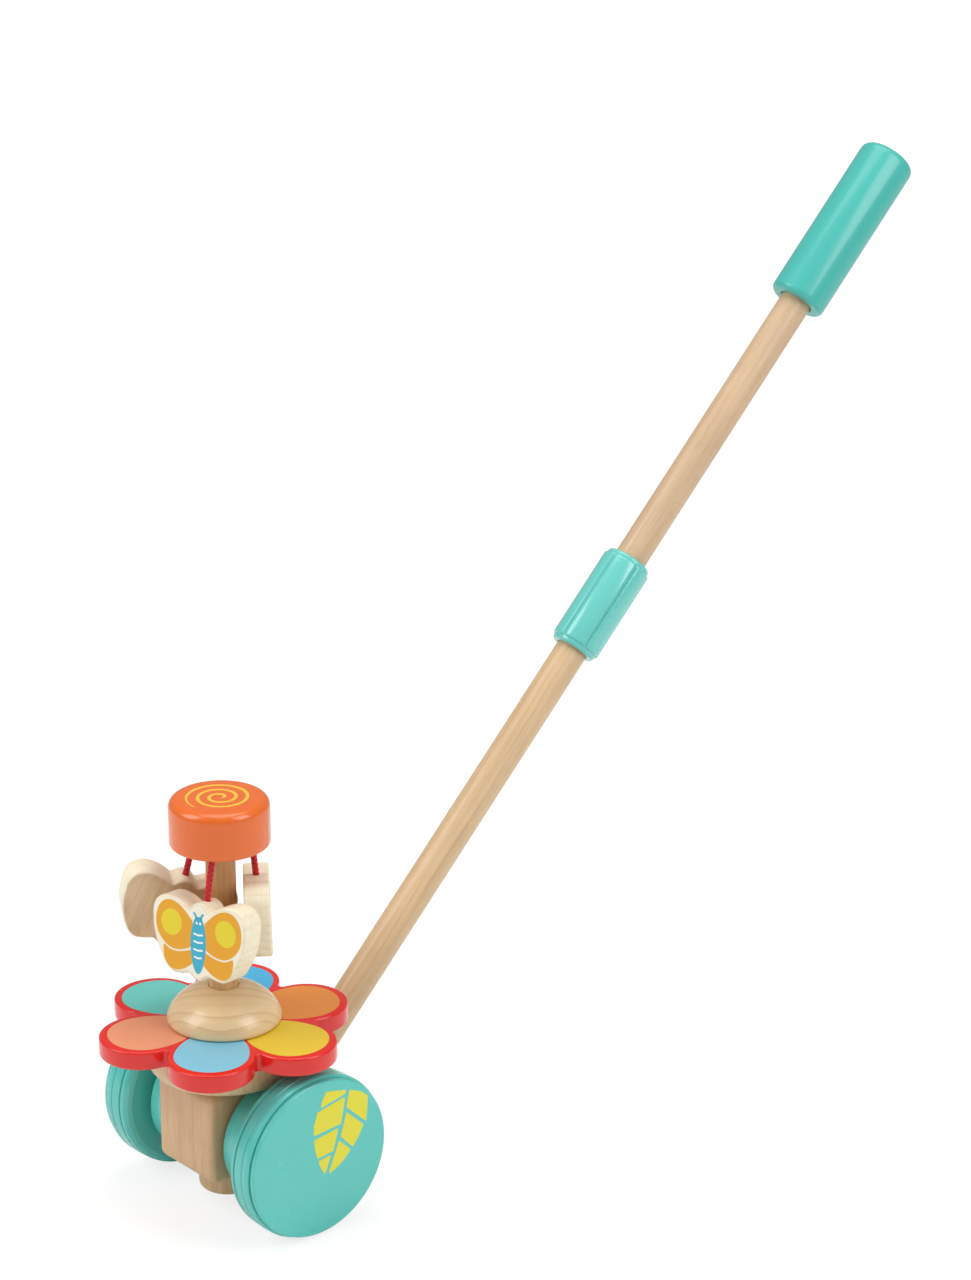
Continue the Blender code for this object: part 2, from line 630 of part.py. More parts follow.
def build_stick(chassis, handle):
    rod = rod_matrix()
    screw = place(0, SCREW_Y, 0)
    lower_profile = chamfered_peg(ROD_R, ROD_S0, LOWER_S1, 1.0, ROD_CHAMFER)
    upper_profile = chamfered_peg(ROD_R, UPPER_S0, UPPER_S1, ROD_CHAMFER, ROD_CHAMFER)
    lower = solid("lower_rod", lathe(lower_profile, 24), "rod_wood", rod, chassis)
    solid("rod_collar", collar_mesh(), "teal", rod, chassis)
    solid("upper_rod", lathe(upper_profile, 24), "rod_wood", rod, handle)
    solid("hand_grip", lathe(grip_profile(), 32), "teal", rod, handle)
    cut(lower, "cut_rod_screw", peg(SCREW_BORE_R, 20, SCREW_TOP + 0.5), screw, 16)
    solid("rod_screw", lathe(screw_profile(), 20), "steel", screw, chassis)


def build():
    for obj in list(bpy.data.objects):
        bpy.data.objects.remove(obj, do_unlink=True)

    chassis = pivot("chassis", Matrix.Identity(4))
    wheelset = pivot("wheelset_axis", place(0, 0, AXLE_Z), chassis)
    carousel = pivot("carousel_axis", place(0, SPIN_Y, 0), chassis)
    handle = pivot("handle_axis", rod_matrix(), chassis)

    build_block(chassis)
    build_wheelset(wheelset)
    knob = build_carousel(chassis, carousel)
    for number, butterfly in enumerate(BUTTERFLIES, start=1):
        hang_butterfly(number, butterfly, carousel, knob)
    build_stick(chassis, handle)


build()
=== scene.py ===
"""Looks for a push-along flower carousel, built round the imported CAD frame.

The wheels turn on an axle along X (right side at +X) above the floor at z = 0.
A flower with a post, knob and three hanging butterflies spins about the upright
line through SPIN, and a stick runs from the axle block along ROD_DIR.
Shapes are drawn in millimetres; add_object scales them to metres. Turned
outlines are (radius, height) about the piece's own +Z."""
import json
import math

import bmesh
import bpy
from mathutils import Matrix, Vector


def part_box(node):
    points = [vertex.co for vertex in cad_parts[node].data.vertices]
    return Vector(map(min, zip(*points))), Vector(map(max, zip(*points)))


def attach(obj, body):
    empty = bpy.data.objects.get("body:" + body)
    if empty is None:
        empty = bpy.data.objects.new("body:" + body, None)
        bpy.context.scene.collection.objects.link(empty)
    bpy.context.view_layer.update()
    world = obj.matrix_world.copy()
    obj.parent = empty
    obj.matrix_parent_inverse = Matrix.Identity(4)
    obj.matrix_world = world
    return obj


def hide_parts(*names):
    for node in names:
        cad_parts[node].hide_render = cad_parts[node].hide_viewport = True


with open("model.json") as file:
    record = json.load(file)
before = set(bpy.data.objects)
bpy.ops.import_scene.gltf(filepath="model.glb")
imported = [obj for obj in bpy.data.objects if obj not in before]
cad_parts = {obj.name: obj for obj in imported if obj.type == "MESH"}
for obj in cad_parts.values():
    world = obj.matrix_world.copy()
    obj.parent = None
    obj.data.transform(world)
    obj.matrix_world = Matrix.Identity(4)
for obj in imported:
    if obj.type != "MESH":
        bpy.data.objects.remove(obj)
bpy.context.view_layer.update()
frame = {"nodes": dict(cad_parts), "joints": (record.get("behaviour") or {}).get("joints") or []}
NODES = frame["nodes"]
JOINTS = {joint["name"]: joint for joint in frame["joints"]}
MM = 0.001
scene = bpy.context.scene


# ============================================================== placement
def box_mm(node):
    low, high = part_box(node)
    return low / MM, high / MM


def joint_point(name):
    return Vector(JOINTS[name]["pos_m"]) / MM


def joint_axis(name):
    return Vector(JOINTS[name]["axis"]).normalized()


def place(x, y, z):
    return Matrix.Translation((x * MM, y * MM, z * MM))


def axes_matrix(origin, x, y, z):
    """Frame with its origin in millimetres and the given unit axes."""
    rotation = Matrix((x, y, z)).transposed().to_4x4()
    return Matrix.Translation(Vector(origin) * MM) @ rotation


AXLE = joint_point("axle_roll")
SPIN = joint_point("carousel_spin")
ROD_DIR = joint_axis("handle_pull")
PIVOTS = [joint_point("butterfly_%d_swing" % k) for k in (1, 2, 3)]


def along_x(sign):
    """Local +Z to world +X or -X at the axle, local +Y stays upwards."""
    z = Vector((sign, 0, 0))
    y = Vector((0, 0, 1))
    return axes_matrix((0, AXLE.y, AXLE.z), y.cross(z), y, z)


def rod_frame():
    """Local +Z up the stick, origin in the middle of the collar's box."""
    low, high = box_mm("rod_collar")
    middle = (low + high) / 2
    x = Vector((1, 0, 0))
    return axes_matrix((0.0, middle.y, middle.z), x, ROD_DIR.cross(x), ROD_DIR)


ROD_FRAME = rod_frame()
ROD_ORIGIN = ROD_FRAME.translation / MM
SPIN_FRAME = place(SPIN.x, SPIN.y, 0)


def rod_span(node):
    """Lowest and highest point of a node, measured along the stick."""
    reach = [(Vector(vert.co) / MM - ROD_ORIGIN).dot(ROD_DIR)
             for vert in NODES[node].data.vertices]
    return min(reach), max(reach)


# ============================================================== objects
def add_object(name, shape, matrix, *materials, smooth_angle=40.0):
    """Object from a bmesh in millimetres, with its faces turned outwards."""
    bmesh.ops.remove_doubles(shape, verts=shape.verts, dist=1e-4)
    volume = sum(face.verts[0].co.dot(face.verts[i].co.cross(face.verts[i + 1].co))
                 for face in shape.faces for i in range(1, len(face.verts) - 1))
    if volume < 0:
        bmesh.ops.reverse_faces(shape, faces=shape.faces)
    bmesh.ops.scale(shape, vec=(MM, MM, MM), verts=shape.verts)
    mesh = bpy.data.meshes.new(name)
    shape.to_mesh(mesh)
    shape.free()
    for material in materials:
        mesh.materials.append(material)
    mesh.shade_smooth()
    mesh.set_sharp_from_angle(angle=math.radians(smooth_angle))
    obj = bpy.data.objects.new(name, mesh)
    scene.collection.objects.link(obj)
    obj.matrix_world = matrix
    return obj


def stand_in(obj, body, node):
    """Let a finished object ride on a body in place of a CAD node."""
    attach(obj, body)
    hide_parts(node)


def add_fine(node, shape, matrix, material, body, smooth_angle=40.0):
    """Fine version of a CAD node."""
    obj = add_object(node + "_fine", shape, matrix, material, smooth_angle=smooth_angle)
    stand_in(obj, body, node)


def add_extra(name, shape, matrix, material, body, smooth_angle=40.0):
    """Piece without a CAD node, with one material, riding on a body."""
    obj = add_object(name, shape, matrix, material, smooth_angle=smooth_angle)
    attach(obj, body)


def bore(obj, holes):
    """Cut turned holes, each (outline, matrix), out of an object."""
    cutters = []
    for i, (outline, matrix) in enumerate(holes):
        cutter = add_object("tool_%d" % i, lathe(outline, 64), matrix, NYLON)
        cutters.append(cutter)
        cut = obj.modifiers.new("bore_%d" % i, "BOOLEAN")
        cut.operation = "DIFFERENCE"
        cut.solver = "EXACT"
        cut.object = cutter
    bpy.context.view_layer.update()
    depsgraph = bpy.context.evaluated_depsgraph_get()
    mesh = bpy.data.meshes.new_from_object(obj.evaluated_get(depsgraph))
    uncut = obj.data
    obj.modifiers.clear()
    obj.data = mesh
    mesh.name = obj.name
    mesh.materials.clear()
    for material in uncut.materials:
        mesh.materials.append(material)
    for cutter in cutters:
        bpy.data.objects.remove(cutter, do_unlink=True)
    mesh.shade_smooth()
    mesh.set_sharp_from_angle(angle=math.radians(32))


# ============================================================== outlines
def rounded(points, steps=5):
    """Closed outline from (x, y) or (x, y, radius) points; a third number
    rounds that corner with an arc."""
    outline = []
    for i, point in enumerate(points):
        radius = point[2] if len(point) > 2 else 0.0
        corner = Vector(point[:2])
        if radius <= 0:
            outline.append((corner.x, corner.y))
            continue
        back = Vector(points[i - 1][:2]) - corner
        ahead = Vector(points[(i + 1) % len(points)][:2]) - corner
        back_length, ahead_length = back.length, ahead.length
        back.normalize()
        ahead.normalize()
        angle = math.acos(max(-1.0, min(1.0, back.dot(ahead))))
        if angle > math.pi - 0.02:                      # as good as straight
            outline.append((corner.x, corner.y))
            continue
        cut = min(radius / math.tan(angle / 2), 0.49 * back_length, 0.49 * ahead_length)
        radius = cut * math.tan(angle / 2)
        centre = corner + (back + ahead).normalized() * (radius / math.sin(angle / 2))
        first = corner + back * cut - centre
        last = corner + ahead * cut - centre
        start = math.atan2(first.y, first.x)
        end = math.atan2(last.y, last.x)
        sweep = (end - start + math.pi) % (2 * math.pi) - math.pi
        for k in range(steps + 1):
            turn = start + sweep * k / steps
            outline.append((centre.x + radius * math.cos(turn),
                            centre.y + radius * math.sin(turn)))
    return outline


def soft_corners(points, radius):
    return rounded([(x, y, radius) for x, y in points], 4)


def cylinder(radius, low, high):
    return [(0, low), (radius, low), (radius, high), (0, high)]


def inset(points, depth):
    """Move the points of an anticlockwise outline inwards."""
    moved = []
    for i, (x, y) in enumerate(points):
        before, after = points[i - 1], points[(i + 1) % len(points)]
        along_x_step, along_y_step = after[0] - before[0], after[1] - before[1]
        length = math.hypot(along_x_step, along_y_step) or 1e-9
        moved.append((x - depth * along_y_step / length, y + depth * along_x_step / length))
    return moved


def chaikin(points, rounds=3):
    """Soften a closed outline by cutting its corners."""
    for _ in range(rounds):
        cut = []
        for (x0, y0), (x1, y1) in zip(points, points[1:] + points[:1]):
            cut += [(0.75 * x0 + 0.25 * x1, 0.75 * y0 + 0.25 * y1),
                    (0.25 * x0 + 0.75 * x1, 0.25 * y0 + 0.75 * y1)]
        points = cut
    return points


def ellipse(centre_x, centre_y, half_x, half_y, tilt=0.0, count=48):
    cos_tilt, sin_tilt = math.cos(tilt), math.sin(tilt)
    return [(centre_x + half_x * math.cos(turn) * cos_tilt - half_y * math.sin(turn) * sin_tilt,
             centre_y + half_x * math.cos(turn) * sin_tilt + half_y * math.sin(turn) * cos_tilt)
            for turn in (2 * math.pi * i / count for i in range(count))]


def mirror(points):
    return [(-x, y) for x, y in reversed(points)]


def rotated(points, angle):
    cosine, sine = math.cos(angle), math.sin(angle)
    return [(x * cosine - y * sine, x * sine + y * cosine) for x, y in points]


# ============================================================== shapes
def loft(shape, rings, flipped=False):
    """Walls of quads between each ring of vertices and the next."""
    for near, far in zip(rings, rings[1:]):
        for k in range(len(near)):
            j = (k + 1) % len(near)
            if flipped:
                shape.faces.new((near[k], far[k], far[j], near[j]))
            else:
                shape.faces.new((near[k], near[j], far[j], far[k]))


def cap(shape, rings):
    shape.faces.new(list(reversed(rings[0])))
    shape.faces.new(rings[-1])


def lathe(outline, segments):
    """Spin a closed (radius, height) outline about local +Z."""
    shape = bmesh.new()
    rings = []
    for radius, z in outline:
        if radius < 1e-6:
            rings.append([shape.verts.new((0, 0, z))])
        else:
            turns = [2 * math.pi * k / segments for k in range(segments)]
            rings.append([shape.verts.new((radius * math.cos(turn), radius * math.sin(turn), z))
                          for turn in turns])
    for near, far in zip(rings, rings[1:] + rings[:1]):
        if len(near) == 1 and len(far) == 1:
            continue
        for k in range(segments):
            j = (k + 1) % segments
            if len(near) == 1:
                shape.faces.new((near[0], far[k], far[j]))
            elif len(far) == 1:
                shape.faces.new((near[k], far[0], near[j]))
            else:
                shape.faces.new((near[k], far[k], far[j], near[j]))
    return shape


def skin(loops, hole=None):
    """Join closed loops (points, z); the ends are capped, or bored through
    with a hole of the given radius."""
    shape = bmesh.new()
    rings = [[shape.verts.new((x, y, z)) for x, y in points] for points, z in loops]
    loft(shape, rings)
    if hole is None:
        cap(shape, rings)
        return shape
    low, high = [[shape.verts.new((hole * math.cos(math.atan2(y, x)),
                                   hole * math.sin(math.atan2(y, x)), z)) for x, y in points]
                 for points, z in (loops[0], loops[-1])]
    for k in range(len(low)):
        j = (k + 1) % len(low)
        shape.faces.new((rings[0][j], rings[0][k], low[k], low[j]))
        shape.faces.new((rings[-1][k], rings[-1][j], high[j], high[k]))
        shape.faces.new((low[j], low[k], high[k], high[j]))
    return shape


def soft_plate(outline_at, low, high, edge, hole=None):
    """Plate with rounded rims; outline_at gives its outline at an inset."""
    rim = [(edge * (1 - math.sin(math.radians(angle))), edge * (1 - math.cos(math.radians(angle))))
           for angle in range(0, 91, 15)]
    loops = [(outline_at(depth), low + rise) for depth, rise in rim]
    loops += [(outline_at(depth), high - rise) for depth, rise in reversed(rim)]
    return skin(loops, hole)


def patch(outline, low, high):
    """Thin plate of paint from a closed outline."""
    area = sum(outline[i - 1][0] * outline[i][1] - outline[i][0] * outline[i - 1][1]
               for i in range(len(outline)))
    if area < 0:
        outline = list(reversed(outline))
    shape = skin([(outline, low), (outline, high)])
    bmesh.ops.triangulate(shape, faces=[face for face in shape.faces if len(face.verts) > 4])
    return shape


def merge(shapes):
    merged = bmesh.new()
    for shape in shapes:
        mesh = bpy.data.meshes.new("tmp")
        shape.to_mesh(mesh)
        shape.free()
        merged.from_mesh(mesh)
        bpy.data.meshes.remove(mesh)
    return merged


# ============================================================== shader helper
def srgb(code):
    values = [int(code[i:i + 2], 16) / 255 for i in (1, 3, 5)]
    return tuple(value / 12.92 if value <= 0.04045 else ((value + 0.055) / 1.055) ** 2.4
                 for value in values) + (1.0,)


def shade(colour, factor):
    return tuple(min(1.0, channel * factor) for channel in colour[:3]) + (1.0,)


class Shader:
    """A material with a Principled surface, and short ways to add nodes."""

    def __init__(self, name):
        self.mat = bpy.data.materials.new(name)
        self.mat.use_nodes = True
        self.tree = self.mat.node_tree
        self.tree.nodes.clear()
        self.out = self.add("ShaderNodeOutputMaterial")
        self.bsdf = self.add("ShaderNodeBsdfPrincipled")
        self.feed(self.out, {"Surface": self.bsdf.outputs[0]})
        self.position = self.add("ShaderNodeTexCoord").outputs["Object"]

    def feed(self, node, inputs):
        """Set or link inputs, given as {socket: value or output socket}."""
        for socket, value in inputs.items():
            if isinstance(value, bpy.types.NodeSocket):
                self.tree.links.new(value, node.inputs[socket])
            else:
                node.inputs[socket].default_value = value

    def add(self, kind, inputs=None, **properties):
        node = self.tree.nodes.new(kind)
        for key, value in properties.items():
            setattr(node, key, value)
        self.feed(node, inputs or {})
        return node

    def surface(self, inputs):
        self.feed(self.bsdf, inputs)

    def mapping(self, scale=(1, 1, 1), rotation=(0, 0, 0), vector=None):
        return self.add("ShaderNodeMapping", {
            "Scale": scale, "Rotation": rotation,
            "Vector": vector or self.position}).outputs["Vector"]

    def noise(self, scale, detail, rough=0.5, stretch=(1, 1, 1), vector=None):
        place_vector = self.mapping(scale=stretch, vector=vector)
        return self.add("ShaderNodeTexNoise", {
            "Scale": scale, "Detail": detail, "Roughness": rough,
            "Vector": place_vector}).outputs["Fac"]

    def math(self, operation, first, second=None, clamp=False):
        inputs = {0: first} if second is None else {0: first, 1: second}
        return self.add("ShaderNodeMath", inputs, operation=operation, use_clamp=clamp).outputs[0]

    def scaled(self, value, by):
        return self.math("MULTIPLY", value, by)

    def radius(self, x, y):
        squares = self.math("ADD", self.math("MULTIPLY", x, x), self.math("MULTIPLY", y, y))
        return self.math("SQRT", squares)

    def grey_ramp(self, fac, stops):
        """Eased ramp through (position, grey) stops."""
        node = self.add("ShaderNodeValToRGB")
        node.color_ramp.interpolation = "EASE"
        elements = node.color_ramp.elements
        while len(elements) < len(stops):
            elements.new(0.5)
        for element, (position, grey) in zip(elements, stops):
            element.position = position
            element.color = (grey, grey, grey, 1.0)
        self.feed(node, {"Fac": fac})
        return node.outputs["Color"]

    def remap(self, value, source=(0.0, 1.0), target=(0.0, 1.0)):
        return self.add("ShaderNodeMapRange", {
            "From Min": source[0], "From Max": source[1],
            "To Min": target[0], "To Max": target[1], "Value": value}).outputs["Result"]

    def mix(self, fac, first, second):
        """Mix two colours; 6 and 7 are the Mix node's colour inputs."""
        return self.add("ShaderNodeMix", {0: fac, 6: first, 7: second},
                        data_type="RGBA").outputs[2]

    def bump(self, height, strength, distance):
        node = self.add("ShaderNodeBump", {
            "Strength": strength, "Distance": distance, "Height": height})
        self.surface({"Normal": node.outputs["Normal"]})


# ============================================================== kinds of material
def paint(name, colour, coat, rough=0.26, turned=False, vary=0.04, relief=1.0):
    """Gloss paint on sanded wood: slow drift of the tone, a faint orange
    peel, a trace of grain and a clear coat."""
    shader = Shader(name)
    drift = shader.noise(scale=34.0, detail=3.0)
    tone = shader.remap(drift, target=(1.0 - vary, 1.0 + vary))
    toned = shader.add("ShaderNodeHueSaturation", {"Color": srgb(colour), "Value": tone})
    shader.surface({
        "Base Color": toned.outputs["Color"],
        "Roughness": shader.remap(drift, target=(rough - 0.06, rough + 0.06)),
        "Coat Weight": coat,
        "Coat Roughness": 0.10,
        "Specular IOR Level": 0.40})
    peel = shader.noise(scale=300.0, detail=2.0)
    grain = shader.noise(scale=500.0, detail=2.0, stretch=(1, 1, 2.5 if turned else 0.05))
    height = shader.math("ADD", shader.scaled(peel, by=0.6), shader.scaled(grain, by=0.4))
    shader.bump(height, strength=0.05 * relief, distance=0.0003)
    return shader.mat


def wood(name, light, dark, seed, pith, ring, ring_amount=0.45, tilt=(0, 0, 0), rough=0.46,
         fleck=0.35, streak=0.5, coat=0.30, wobble=1.2, along=1.0, fine=0.16, relief=1.0):
    """Lacquered wood in the object's own space. The grain runs along local
    +Z after tilt; growth rings, ring mm apart, are shells round a line at
    pith (mm). fleck, streak and fine weigh the pores, streaks and fibres."""
    shader = Shader(name)
    base = shader.mapping(scale=(1000, 1000, 1000), rotation=tilt)      # metres to mm
    # the seed moves the noise, so that no two woods match
    shifted = shader.add("ShaderNodeVectorMath", {
        0: base, 1: (seed * 13.7, seed * 7.3, seed * 31.1)}, operation="ADD").outputs[0]

    # growth rings with a slow wander
    wander = shader.noise(scale=0.055, detail=3.0, rough=0.55, stretch=(1, 1, 0.22),
                          vector=shifted)
    parts = shader.add("ShaderNodeSeparateXYZ", {0: base}).outputs
    radius = shader.radius(shader.math("SUBTRACT", parts["X"], pith[0]),
                           shader.math("SUBTRACT", parts["Y"], pith[1]))
    centred = shader.math("SUBTRACT", wander, 0.5)
    radius = shader.math("ADD", radius, shader.scaled(centred, by=wobble * ring * 2.0))
    turns = shader.math("DIVIDE", radius, ring)
    # early wood rises slowly, late wood is a narrow darker band
    band = shader.grey_ramp(shader.math("FRACT", turns), [
        (0.0, 0.0), (0.45, 0.12), (0.80, 0.55), (0.92, 1.0), (1.0, 0.0)])
    ring_random = shader.add("ShaderNodeTexWhiteNoise", {"W": shader.math("FLOOR", turns)},
                             noise_dimensions="1D").outputs["Value"]
    band = shader.math("MULTIPLY", band, shader.remap(ring_random, target=(0.25, 1.0)))

    # long streaks, fine fibres and pores
    streaks = shader.noise(scale=0.42, detail=4.0, rough=0.6, stretch=(1, 1, 0.035 * along),
                           vector=shifted)
    fibre = shader.noise(scale=3.2, detail=3.0, rough=0.65, stretch=(1, 1, 0.03 * along),
                         vector=shifted)
    pores = shader.noise(scale=2.6, detail=1.0, rough=0.4, stretch=(1, 1, 0.12 * along),
                         vector=shifted)
    pore = shader.remap(pores, source=(0.66, 0.76))
    rings_share = shader.scaled(band, by=ring_amount)
    streak_share = shader.scaled(shader.remap(streaks, source=(0.38, 0.72)), by=streak)
    fibre_share = shader.scaled(shader.remap(fibre, source=(0.35, 0.75)), by=fine)
    pore_share = shader.scaled(pore, by=fleck)
    darkness = shader.math("ADD", shader.math("ADD", rings_share, streak_share),
                           shader.math("ADD", fibre_share, pore_share), clamp=True)
    colour = shader.mix(darkness, srgb(light), srgb(dark))
    cloud = shader.noise(scale=0.035, detail=2.0, vector=shifted)
    toned = shader.add("ShaderNodeHueSaturation", {
        "Color": colour, "Value": shader.remap(cloud, source=(0.3, 0.7), target=(0.95, 1.05))})
    shader.surface({
        "Base Color": toned.outputs["Color"],
        "Roughness": shader.remap(fibre, source=(0.3, 0.7), target=(rough - 0.05, rough + 0.08)),
        "Coat Weight": coat,
        "Coat Roughness": 0.18,
        "Specular IOR Level": 0.35,
        "Subsurface Weight": 0.04,
        "Subsurface Radius": (0.0012, 0.0007, 0.0004)})
    height = shader.math("SUBTRACT", shader.scaled(fibre, by=0.5), shader.scaled(pore, by=0.6))
    shader.bump(height, strength=0.12 * relief, distance=0.00010)
    return shader.mat


def metal(name):
    """Bare metal with fine lines along local Z."""
    shader = Shader(name)
    line = shader.noise(scale=3500.0, detail=2.0, stretch=(1, 1, 0.02))
    shader.surface({
        "Base Color": (0.62, 0.62, 0.63, 1.0),
        "Metallic": 1.0,
        "Roughness": shader.remap(line, source=(0.3, 0.7), target=(0.22, 0.38))})
    shader.bump(line, strength=0.08, distance=0.00005)
    return shader.mat


def nylon(name):
    shader = Shader(name)
    mottle = shader.noise(scale=700.0, detail=2.0)
    shader.surface({
        "Base Color": (0.80, 0.79, 0.75, 1.0),
        "Roughness": shader.remap(mottle, source=(0.3, 0.7), target=(0.40, 0.52)),
        "Subsurface Weight": 0.15,
        "Subsurface Radius": (0.001, 0.001, 0.001)})
    shader.bump(mottle, strength=0.05, distance=0.0001)
    return shader.mat


def cord_fibre(name, code):
    """Braided cord along local +Z: bright strand crowns, painted shade in
    the valleys between them, fine threads and a soft sheen."""
    shader = Shader(name)
    colour = srgb(code)
    threads = shader.noise(scale=4200.0, detail=3.0, rough=0.6, stretch=(1, 1, 0.5))
    parts = shader.add("ShaderNodeSeparateXYZ", {
        0: shader.mapping(scale=(1000, 1000, 1000))}).outputs           # metres to mm
    # painted shade: the colour falls to half towards the core, in the valleys between the strands
    crown_vs_painted_shade = shader.remap(shader.radius(parts["X"], parts["Y"]), source=(1.15, 1.50))
    tint = shader.mix(shader.remap(threads, source=(0.3, 0.7)),
                      shade(colour, factor=0.90), shade(colour, factor=1.25))
    shader.surface({
        "Base Color": shader.mix(crown_vs_painted_shade, shade(colour, factor=0.50), tint),
        "Roughness": 0.60,
        "Sheen Weight": 0.12,
        "Sheen Roughness": 0.4})
    shader.bump(threads, strength=0.35, distance=0.00012)
    return shader.mat


# ============================================================== the materials
TEAL = paint("teal_paint", "#58C4BA", coat=0.40, turned=True, relief=0.5)
TEAL_GRIP = paint("teal_grip_paint", "#48B4AA", rough=0.30, coat=0.22, vary=0.03, relief=0.1)
TEAL_COLLAR = paint("teal_collar_plastic", "#68C8BF", rough=0.24, coat=0.7, vary=0.02, relief=0.1)
RED = paint("red_paint", "#DE2017", coat=0.35, relief=0.5)
ORANGE = paint("orange_paint", "#E36921", coat=0.35, turned=True, relief=0.5)
KNOB_LINE = paint("spiral_paint", "#F4BC3E", rough=0.36, coat=0.2, vary=0.03)
PETAL_COLOURS = (("yellow", "#E3C02A"), ("orange", "#DF8836"), ("blue", "#46A9D3"),
                 ("teal", "#69C9C0"), ("peach", "#E8966E"), ("sky", "#7CC1DB"))
PETAL_PAINTS = [paint("petal_" + word, colour, rough=0.34, coat=0.3, vary=0.03)
                for word, colour in PETAL_COLOURS]
LEAF = paint("leaf_paint", "#E2D82C", rough=0.34, coat=0.25, vary=0.03)
PRINT = dict(rough=0.42, coat=0.08)         # finish of the butterflies' prints
WING_ORANGE = paint("wing_orange", "#E8A31A", vary=0.03, **PRINT)
WING_YELLOW = paint("wing_yellow", "#E8D026", vary=0.03, **PRINT)
BUG_BLUE = paint("bug_blue", "#3AAEC9", vary=0.03, **PRINT)
BUG_WHITE = paint("bug_white", "#F7F7F3", vary=0.02, **PRINT)
WING_CREAM = paint("wing_cream", "#F5EEDA", rough=0.46, coat=0.05, vary=0.03)

ROD_WOOD = wood("stick_wood", "#D8BA92", "#B8946A", seed=1.0, pith=(22, 9), ring=3.2,
                ring_amount=0.22, streak=0.42, fleck=0.20)
ROD_WOOD_UPPER = wood("stick_wood_upper", "#D3B593", "#B3916C", seed=4.0, pith=(-26, 14),
                      ring=3.6, ring_amount=0.22, streak=0.45, fleck=0.22)
BLOCK_WOOD = wood("block_wood", "#D9B48A", "#B88D62", seed=2.0, pith=(60, 35), ring=5.5,
                  ring_amount=0.22, streak=0.35, fleck=0.55, along=2.5)
DOME_WOOD = wood("dome_wood", "#ECD0A2", "#BC8C56", seed=3.0, pith=(19, 5), ring=3.8,
                 ring_amount=0.42, streak=0.10, fleck=0.06, tilt=(math.radians(90), 0, 0),
                 wobble=0.22, coat=0.6, rough=0.36, fine=0.10, relief=0.5)
POST_WOOD = wood("post_wood", "#D9AE78", "#AC7A45", seed=5.0, pith=(14, 5), ring=3.0,
                 ring_amount=0.30, streak=0.40)
BOWL_WOOD = wood("bowl_wood", "#E4C89F", "#C09868", seed=6.0, pith=(70, 10), ring=5.0,
                 ring_amount=0.3, streak=0.4)
CAP_WOOD = wood("cap_wood", "#DDBF96", "#B98F62", seed=7.0, pith=(30, 22), ring=4.0)
WING_FACE = dict(light="#F4ECD3", dark="#DAC7A0", streak=0.25, fleck=0.18, coat=0.12, rough=0.48)
UPRIGHT_GRAIN = dict(pith=(14, 60), ring=4.6, tilt=(math.radians(84), 0, 0))
WING_WOOD = wood("butterfly_wood", seed=8.0, pith=(8, 60), ring=4.2,
                 tilt=(0, math.radians(90), 0), **WING_FACE)
WING_WOOD_UPRIGHT = wood("butterfly_wood_upright", seed=11.0, **UPRIGHT_GRAIN, **WING_FACE)
# painted shade: a darker, browner copy of the butterfly wood for the inner faces, which turn away
# from the lights
WING_BACK_SHADED = wood("butterfly_back_wood", "#E6CCA8", "#BE9F78", seed=14.0, ring_amount=0.35,
                 streak=0.45, fleck=0.30, coat=0.10, rough=0.50, **UPRIGHT_GRAIN)
STEEL = metal("steel")
NYLON = nylon("nylon")
CORD = cord_fibre("red_cord", "#DE1F2B")


# ============================================================== wheels and hubs
AXLE_HOLE_R = 2.8
COVER_FACE = 54.2               # outer face of the wheel covers, from the middle

# radius, distance out along the axle, corner radius
WHEEL_POINTS = [
    (AXLE_HOLE_R, 36.8), (33.6, 36.8, 1.2), (35.4, 37.6, 2.0), (37.0, 39.4, 1.6),
    (37.25, 41.2, 0.25), (36.2, 41.5, 0.2), (36.2, 41.9, 0.2), (37.3, 42.2, 0.4),
    (37.5, 46.9, 0.25), (37.1, 47.15, 0.15), (37.1, 47.35, 0.15), (37.5, 47.6, 0.25),
    (37.5, 50.2, 1.0), (36.9, 51.4, 0.3), (AXLE_HOLE_R, 51.4)]
COVER_POINTS = [(0, 51.7), (35.9, 51.7, 0.2), (36.3, 52.2, 0.3), (36.3, COVER_FACE, 1.7),
                (0, COVER_FACE)]


def hub_outline(drum_radius):
    return rounded([(AXLE_HOLE_R, 21.0), (drum_radius, 21.0, 1.0), (drum_radius, 33.0, 1.0),
                    (22.0, 33.0, 0.3), (22.0, 36.5), (AXLE_HOLE_R, 36.5)], 4)


SIDES = (("right", 1), ("left", -1))
for side, sign in SIDES:
    low, high = box_mm("hub_" + side)
    side_frame = along_x(sign)
    for node, outline, segments in (
            ("hub_" + side, hub_outline((high.z - low.z) / 2), 160),
            ("wheel_" + side, rounded(WHEEL_POINTS, 5), 200),
            ("wheel_cover_" + side, rounded(COVER_POINTS, 8), 200)):
        add_fine(node, lathe(outline, segments), side_frame, TEAL, "wheelset")

# leaf painted on each wheel face: seven fields parted by bare veins, as
# (along +Y, up) from the wheel's middle
LEAF_FIELDS = (
    ((4.1, 31.0), (14.9, 28.4), (14.5, 26.7), (0.7, 24.1), (2.0, 27.9)),
    ((14.4, 25.4), (11.9, 13.1), (-3.2, 12.0), (-2.9, 17.0), (-0.9, 22.7)),
    ((10.4, 11.5), (7.5, 1.5), (-1.3, 0.5), (-2.6, 5.4), (-3.0, 9.9)),
    ((6.2, 0.0), (2.6, -8.4), (0.5, -4.7), (-0.9, -0.9)),
    ((16.7, 27.8), (22.9, 25.1), (26.9, 21.7), (26.5, 15.6), (25.8, 9.6), (14.9, 20.0)),
    ((14.9, 17.8), (24.3, 8.6), (21.5, 3.8), (18.1, -0.3), (11.6, 6.9)),
    ((10.7, 5.4), (17.0, -1.2), (13.6, -4.5), (9.7, -7.0), (4.4, -9.0)),
)


